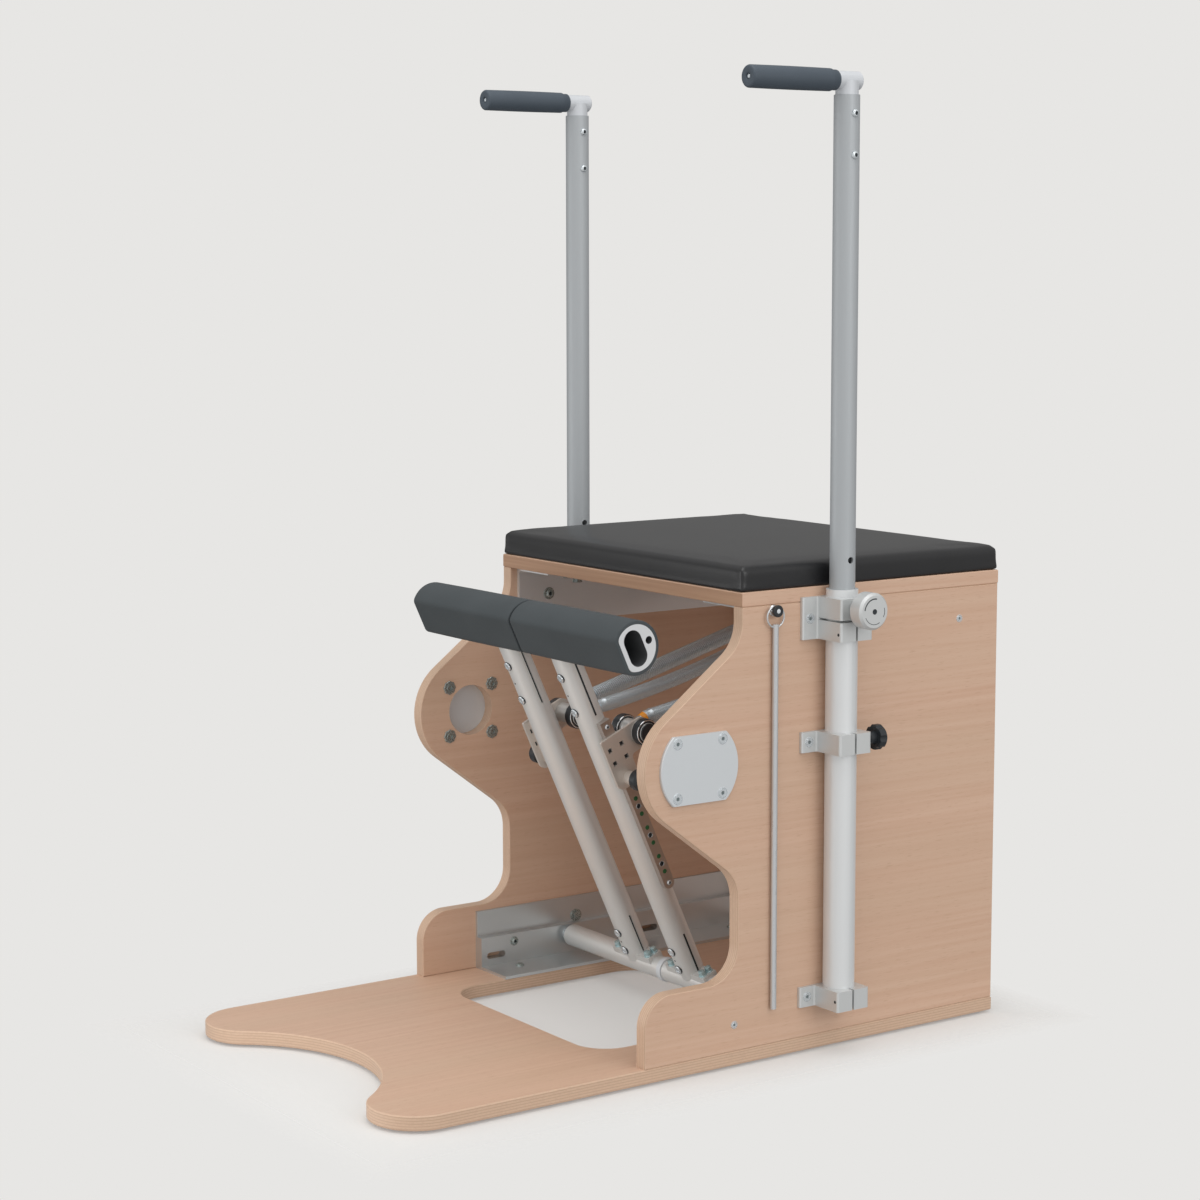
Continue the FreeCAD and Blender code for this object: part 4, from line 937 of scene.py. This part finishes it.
def slit_shadow(shape, x, low, high):
    """A dark strip inside the saw slit of an arm, just under the tube's skin."""
    corners = ((-SLIT_REACH, -SLIT_HALF), (0.0, -SLIT_HALF), (0.0, SLIT_HALF), (-SLIT_REACH, SLIT_HALF))
    rings = []
    for height in (low, high):
        rings.append([in_pedal(x + math.copysign(depth, x), y, height) for depth, y in corners])
    shape.rings(rings)


def rail_foot(shape, sign):
    """The round foot of a hole rail, below its straight part."""
    outline = [(RAIL_HOLE_Y + reach, RAIL_FOOT_TOP) for reach in (RAIL_HALF_WIDTH, -RAIL_HALF_WIDTH)]
    for number in range(13):
        angle = math.pi + math.pi * number / 12
        y = RAIL_HOLE_Y + RAIL_HALF_WIDTH * math.cos(angle)
        outline.append((y, RAIL_FOOT_MIDDLE + RAIL_HALF_WIDTH * math.sin(angle)))
    if sign < 0:
        outline.reverse()
    rings = []
    for x in (ARM_X + RAIL_FOOT_START, RAIL_FACE):
        rings.append([in_pedal(sign * x, y, height) for y, height in outline])
    shape.rings(rings)


def square_hole_shade(shape, sign, place, height):
    """Painted shade on the floor of a square hole in a slider."""
    low, high = height - SQUARE_HALF, height + SQUARE_HALF
    front, back = place - SQUARE_HALF, place + SQUARE_HALF
    corners = ((front, low), (back, low), (back, high), (front, high))
    rings = []
    for x in (SLIDER_FLOOR - 0.6, SLIDER_FLOOR):
        rings.append([in_pedal(sign * x, y, rise) for y, rise in corners])
    shape.rings(rings)


def knob_arc(shape, sign, start, end, half_width):
    """A shallow groove of painted shade on the lock knob's face, from one angle to another."""
    inner, outer = KNOB_ARC_RADIUS - half_width, KNOB_ARC_RADIUS + half_width
    low, high = LOCK_FACE + KNOB_ARC_LOW, LOCK_FACE + KNOB_ARC_HIGH
    rings = []
    for number in range(19):
        angle = math.radians(start + (end - start) * number / 18)
        ring = []
        for reach, x in ((inner, low), (outer, low), (outer, high), (inner, high)):
            y = POST_Y + reach * math.cos(angle)
            z = LOCK_Z + reach * math.sin(angle)
            ring.append(Vector((sign * x, y, z)))
        rings.append(ring)
    shape.rings(rings)


def arm_fasteners(side, sign):
    """The screws of an arm and its saddle, and the shadows in the arm's slits."""
    arm_screws, saddle_bolts = Screws(), Screws()
    for height in ARM_SCREW_HEIGHTS:
        arm_screws.disc(in_pedal(sign * ARM_X, -ARM_RADIUS, height), PEDAL_FRONT, ARM_SCREW)
    for height in ARM_HOLE_HEIGHTS:
        arm_screws.hole(in_pedal(sign * ARM_X, -ARM_RADIUS, height), PEDAL_FRONT, ARM_HOLE)
    for height in (RAIL_FOOT_MIDDLE, RAIL_TOP_SCREW):
        arm_screws.button(in_pedal(sign * RAIL_FACE, RAIL_HOLE_Y, height), across(sign), RAIL_SCREW)
    for x in SADDLE_BOLT_X:
        for y in SADDLE_BOLT_Y:
            at = in_pedal(sign * ARM_X + x, y, SADDLE_BOLT_HEIGHT)
            saddle_bolts.hexagon(at, PEDAL_UP, *SADDLE_BOLT)
    arm_screws.pieces("arm_screws_" + side, "pedal_" + side, zinc)
    saddle_bolts.pieces("saddle_bolts_" + side, "pedal_" + side, teal_zinc)
    shadows = Shape()
    for low, high in SLITS:
        for face in (-1, 1):
            depth = ARM_RADIUS - SLIT_DEPTH
            slit_shadow(shadows, sign * (ARM_X + face * depth), low, high)
    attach(shadows.piece("slit_shadows_" + side, painted_shade), "pedal_" + side)


def rail_details(side, sign):
    """The foot, holes, rims and marks of a hole rail, with painted shade in its holes and a painted highlight
    on its rims, and the painted shade in the holes of its slider.
    """
    foot, shade_floors = Shape(), Shape()
    rail_foot(foot, sign)
    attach(foot.piece("rail_foot_" + side, hole_rail_steel), "pedal_" + side)
    for height in SQUARE_HEIGHTS:
        for place in SQUARE_PLACES:
            square_hole_shade(shade_floors, sign, place, height)
    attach(shade_floors.piece("slider_holes_" + side, painted_shade), "slider_" + side)
    marks, holes, hole_highlight_rims = Shape(), Shape(), Shape()
    dot = [(-0.2, MARK_RADIUS), (0.1, MARK_RADIUS), (0.2, MARK_RADIUS - 0.2), (0.2, 0.2)]
    floor = -RAIL_HOLE_DEPTH
    hole = [(floor - 0.5, RAIL_HOLE_RADIUS), (floor, RAIL_HOLE_RADIUS), (floor, 0.3)]
    for number in range(RAIL_HOLES):
        height = FIRST_RAIL_HOLE + RAIL_HOLE_STEP * number
        for step in (-MARK_SPACING, MARK_SPACING):
            mark_at = in_pedal(sign * RAIL_FACE, RAIL_HOLE_Y, height + step)
            turn(marks, basis(mark_at, across(sign)), dot, 16)
        at = in_pedal(sign * RAIL_FACE, RAIL_HOLE_Y, height)
        # Bright zinc rims round the holes: a painted highlight on their chamfers
        rim(hole_highlight_rims, at, RAIL_HOLE_RADIUS, RAIL_HOLE_RIM)
        # Dark discs of painted shade in the rail's holes
        turn(holes, basis(at, across(sign)), hole)
    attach(marks.piece("rail_marks_" + side, green), "pedal_" + side)
    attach(holes.piece("rail_holes_" + side, painted_shade), "pedal_" + side)
    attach(hole_highlight_rims.piece("rail_hole_rims_" + side, zinc, 60.0), "pedal_" + side)


def handle_details(side, sign):
    """The screws of a handle, the painted shade in the grooves and socket of its lock knob, and the cap of
    its star knob.
    """
    handle_screws = Screws()
    for z in POST_SCREW_Z:
        handle_screws.button(Vector((sign * POST_X + POST_RADIUS, POST_Y, z)), RIGHT, POST_SCREW)
    grip_screw = sided(sign, (POST_X, GRIP_FRONT + GRIP_SCREW_DEPTH, GRIP_Z))
    handle_screws.disc(grip_screw, FORWARD, GRIP_SCREW)
    handle_screws.pieces("handle_screws_" + side, "handle_" + side, zinc)
    # Painted shade in the lock knob's grooves and socket
    knob_groove_shade = Shape()
    for start, end, half_width in KNOB_ARCS:
        knob_arc(knob_groove_shade, sign, start, end, half_width)
    turn(knob_groove_shade, basis(sided(sign, (LOCK_FACE, POST_Y, LOCK_Z)), across(sign)), KNOB_SOCKET)
    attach(knob_groove_shade.piece("lock_groove_shade_" + side, painted_shade), "lock_" + side)
    star_cap = Shape()
    turn(star_cap, basis(sided(sign, (STAR_X, STAR_END, STAR_Z)), BACKWARD), STAR_CAP, 32)
    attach(star_cap.piece("star_cap_" + side, rubber), "star_" + side)


for side, sign in SIDES:
    arm_fasteners(side, sign)
    rail_details(side, sign)
    handle_details(side, sign)

hook_place = basis(Vector((HOOK_END, HOOK_Y, HOOK_Z)), RIGHT)
hook_cap, hook_dot = Shape(), Shape()
turn(hook_cap, hook_place, HOOK_CAP, 32)
turn(hook_dot, hook_place, HOOK_DOT, 24)
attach(hook_cap.piece("hook_cap", black), "frame")
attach(hook_dot.piece("hook_dot", white), "frame")


# Floor, light and camera

FLOOR_HALF_WIDTH, FLOOR_HALF_LENGTH, FLOOR_FADE = 0.275, 0.46, 0.10
FLOOR_REACH, FLOOR_DROP = 1600.0, -0.5
BACKDROP_COLOUR, SKY_COLOUR = shade(231, 230, 228), (1.0, 0.995, 0.985, 1.0)
SKY_FROM = Vector((0.55, -0.35, 0.76)).normalized()
SKY_RANGE = (("From Min", -0.6), ("From Max", 1.0), ("To Min", 0.25), ("To Max", 0.95))


def pale_floor():
    """A floor that is solid under the chair and clears towards the even backdrop round it."""
    look = Finish("pale_floor", shade(229, 228, 226), 0.9)
    beside = look.math("SUBTRACT", look.math("ABSOLUTE", look.axis(look.place, "X")), FLOOR_HALF_WIDTH)
    before = look.math("SUBTRACT", look.math("ABSOLUTE", look.axis(look.place, "Y")), FLOOR_HALF_LENGTH)
    clear = look.add("ShaderNodeBsdfTransparent")
    blend = look.add("ShaderNodeMixShader")
    distance = look.math("MAXIMUM", beside, before)
    look.feed(look.spread(distance, 0.0, FLOOR_FADE, 0.3, 1.0), blend.inputs[0])
    look.tree.links.new(look.shader.outputs[0], blend.inputs[1])
    look.tree.links.new(clear.outputs[0], blend.inputs[2])
    look.tree.links.new(blend.outputs[0], look.tree.nodes["Material Output"].inputs["Surface"])
    corners = ((-1, -1), (1, -1), (1, 1), (-1, 1))
    shape = Shape()
    shape.points = [Vector((x * FLOOR_REACH, y * FLOOR_REACH, FLOOR_DROP)) for x, y in corners]
    shape.faces = [(0, 1, 2, 3)]
    shape.piece("floor", look.material)


def studio_light(name, place, target, size, power, height=0.0):
    """A soft round light, or an upright oblong one when it has a height."""
    light = bpy.data.lights.new(name, "AREA")
    light.shape = "RECTANGLE" if height else "DISK"
    light.size = size
    if height:
        light.size_y = height
    light.energy = power
    lamp = bpy.data.objects.new(name, light)
    bpy.context.scene.collection.objects.link(lamp)
    heading = Vector(target) - Vector(place)
    lamp.matrix_world = basis(Vector(place), -heading)
    lamp.visible_camera = False


def surroundings():
    """An even backdrop for the camera, and a sky that is brighter from the upper right for the light."""
    world = bpy.data.worlds.new("studio")
    bpy.context.scene.world = world
    world.use_nodes = True
    tree = world.node_tree
    tree.nodes.clear()
    out = tree.nodes.new("ShaderNodeOutputWorld")
    seen = tree.nodes.new("ShaderNodeBackground")
    seen.inputs["Color"].default_value = BACKDROP_COLOUR
    lit = tree.nodes.new("ShaderNodeBackground")
    lit.inputs["Color"].default_value = SKY_COLOUR
    place = tree.nodes.new("ShaderNodeTexCoord")
    toward = tree.nodes.new("ShaderNodeVectorMath")
    toward.operation = "DOT_PRODUCT"
    toward.inputs[1].default_value = SKY_FROM
    strength = tree.nodes.new("ShaderNodeMapRange")
    for name, number in SKY_RANGE:
        strength.inputs[name].default_value = number
    path = tree.nodes.new("ShaderNodeLightPath")
    choose = tree.nodes.new("ShaderNodeMixShader")
    tree.links.new(place.outputs["Generated"], toward.inputs[0])
    tree.links.new(toward.outputs["Value"], strength.inputs["Value"])
    tree.links.new(strength.outputs["Result"], lit.inputs["Strength"])
    tree.links.new(path.outputs["Is Camera Ray"], choose.inputs[0])
    tree.links.new(lit.outputs[0], choose.inputs[1])
    tree.links.new(seen.outputs[0], choose.inputs[2])
    tree.links.new(choose.outputs[0], out.inputs["Surface"])


def camera():
    """The camera, from its place and its three angles."""
    yaw, pitch, roll = (math.radians(angle) for angle in (CAMERA_YAW, CAMERA_PITCH, CAMERA_ROLL))
    ahead = Vector((-math.sin(yaw) * math.cos(pitch), math.cos(yaw) * math.cos(pitch), -math.sin(pitch)))
    level = Vector((math.cos(yaw), math.sin(yaw), 0))
    upright = level.cross(ahead)
    right = level * math.cos(roll) + upright * math.sin(roll)
    up = upright * math.cos(roll) - level * math.sin(roll)
    data = bpy.data.cameras.new("camera")
    data.sensor_width = SENSOR_WIDTH
    data.lens = LENS
    made = bpy.data.objects.new("camera", data)
    bpy.context.scene.collection.objects.link(made)
    rotation = Matrix((right, up, -ahead)).transposed().to_4x4()
    made.matrix_world = Matrix.Translation(CAMERA_PLACE) @ rotation
    bpy.context.scene.camera = made


pale_floor()
studio_light("overhead", place=(0.4, -0.3, 3.2), target=(0.0, 0.1, 0.4), size=2.6, power=26.0)
studio_light("side", place=(3.4, 0.6, 1.7), target=(0.0, 0.1, 0.5), size=2.2, power=22.0)
studio_light("front_fill", place=(-1.6, -2.6, 0.5), target=(0.0, 0.2, 0.35), size=2.0, power=14.0)
studio_light(
    "inside_back", place=(0.0, 0.432, 0.28), target=(0.0, 0.0, 0.28), size=0.44, power=0.12, height=0.5,
)
studio_light("low_front", place=(0.05, -0.75, 0.12), target=(-0.1, 0.25, 0.5), size=0.5, power=0.6)
surroundings()
camera()
bpy.context.scene.view_settings.view_transform = "Standard"
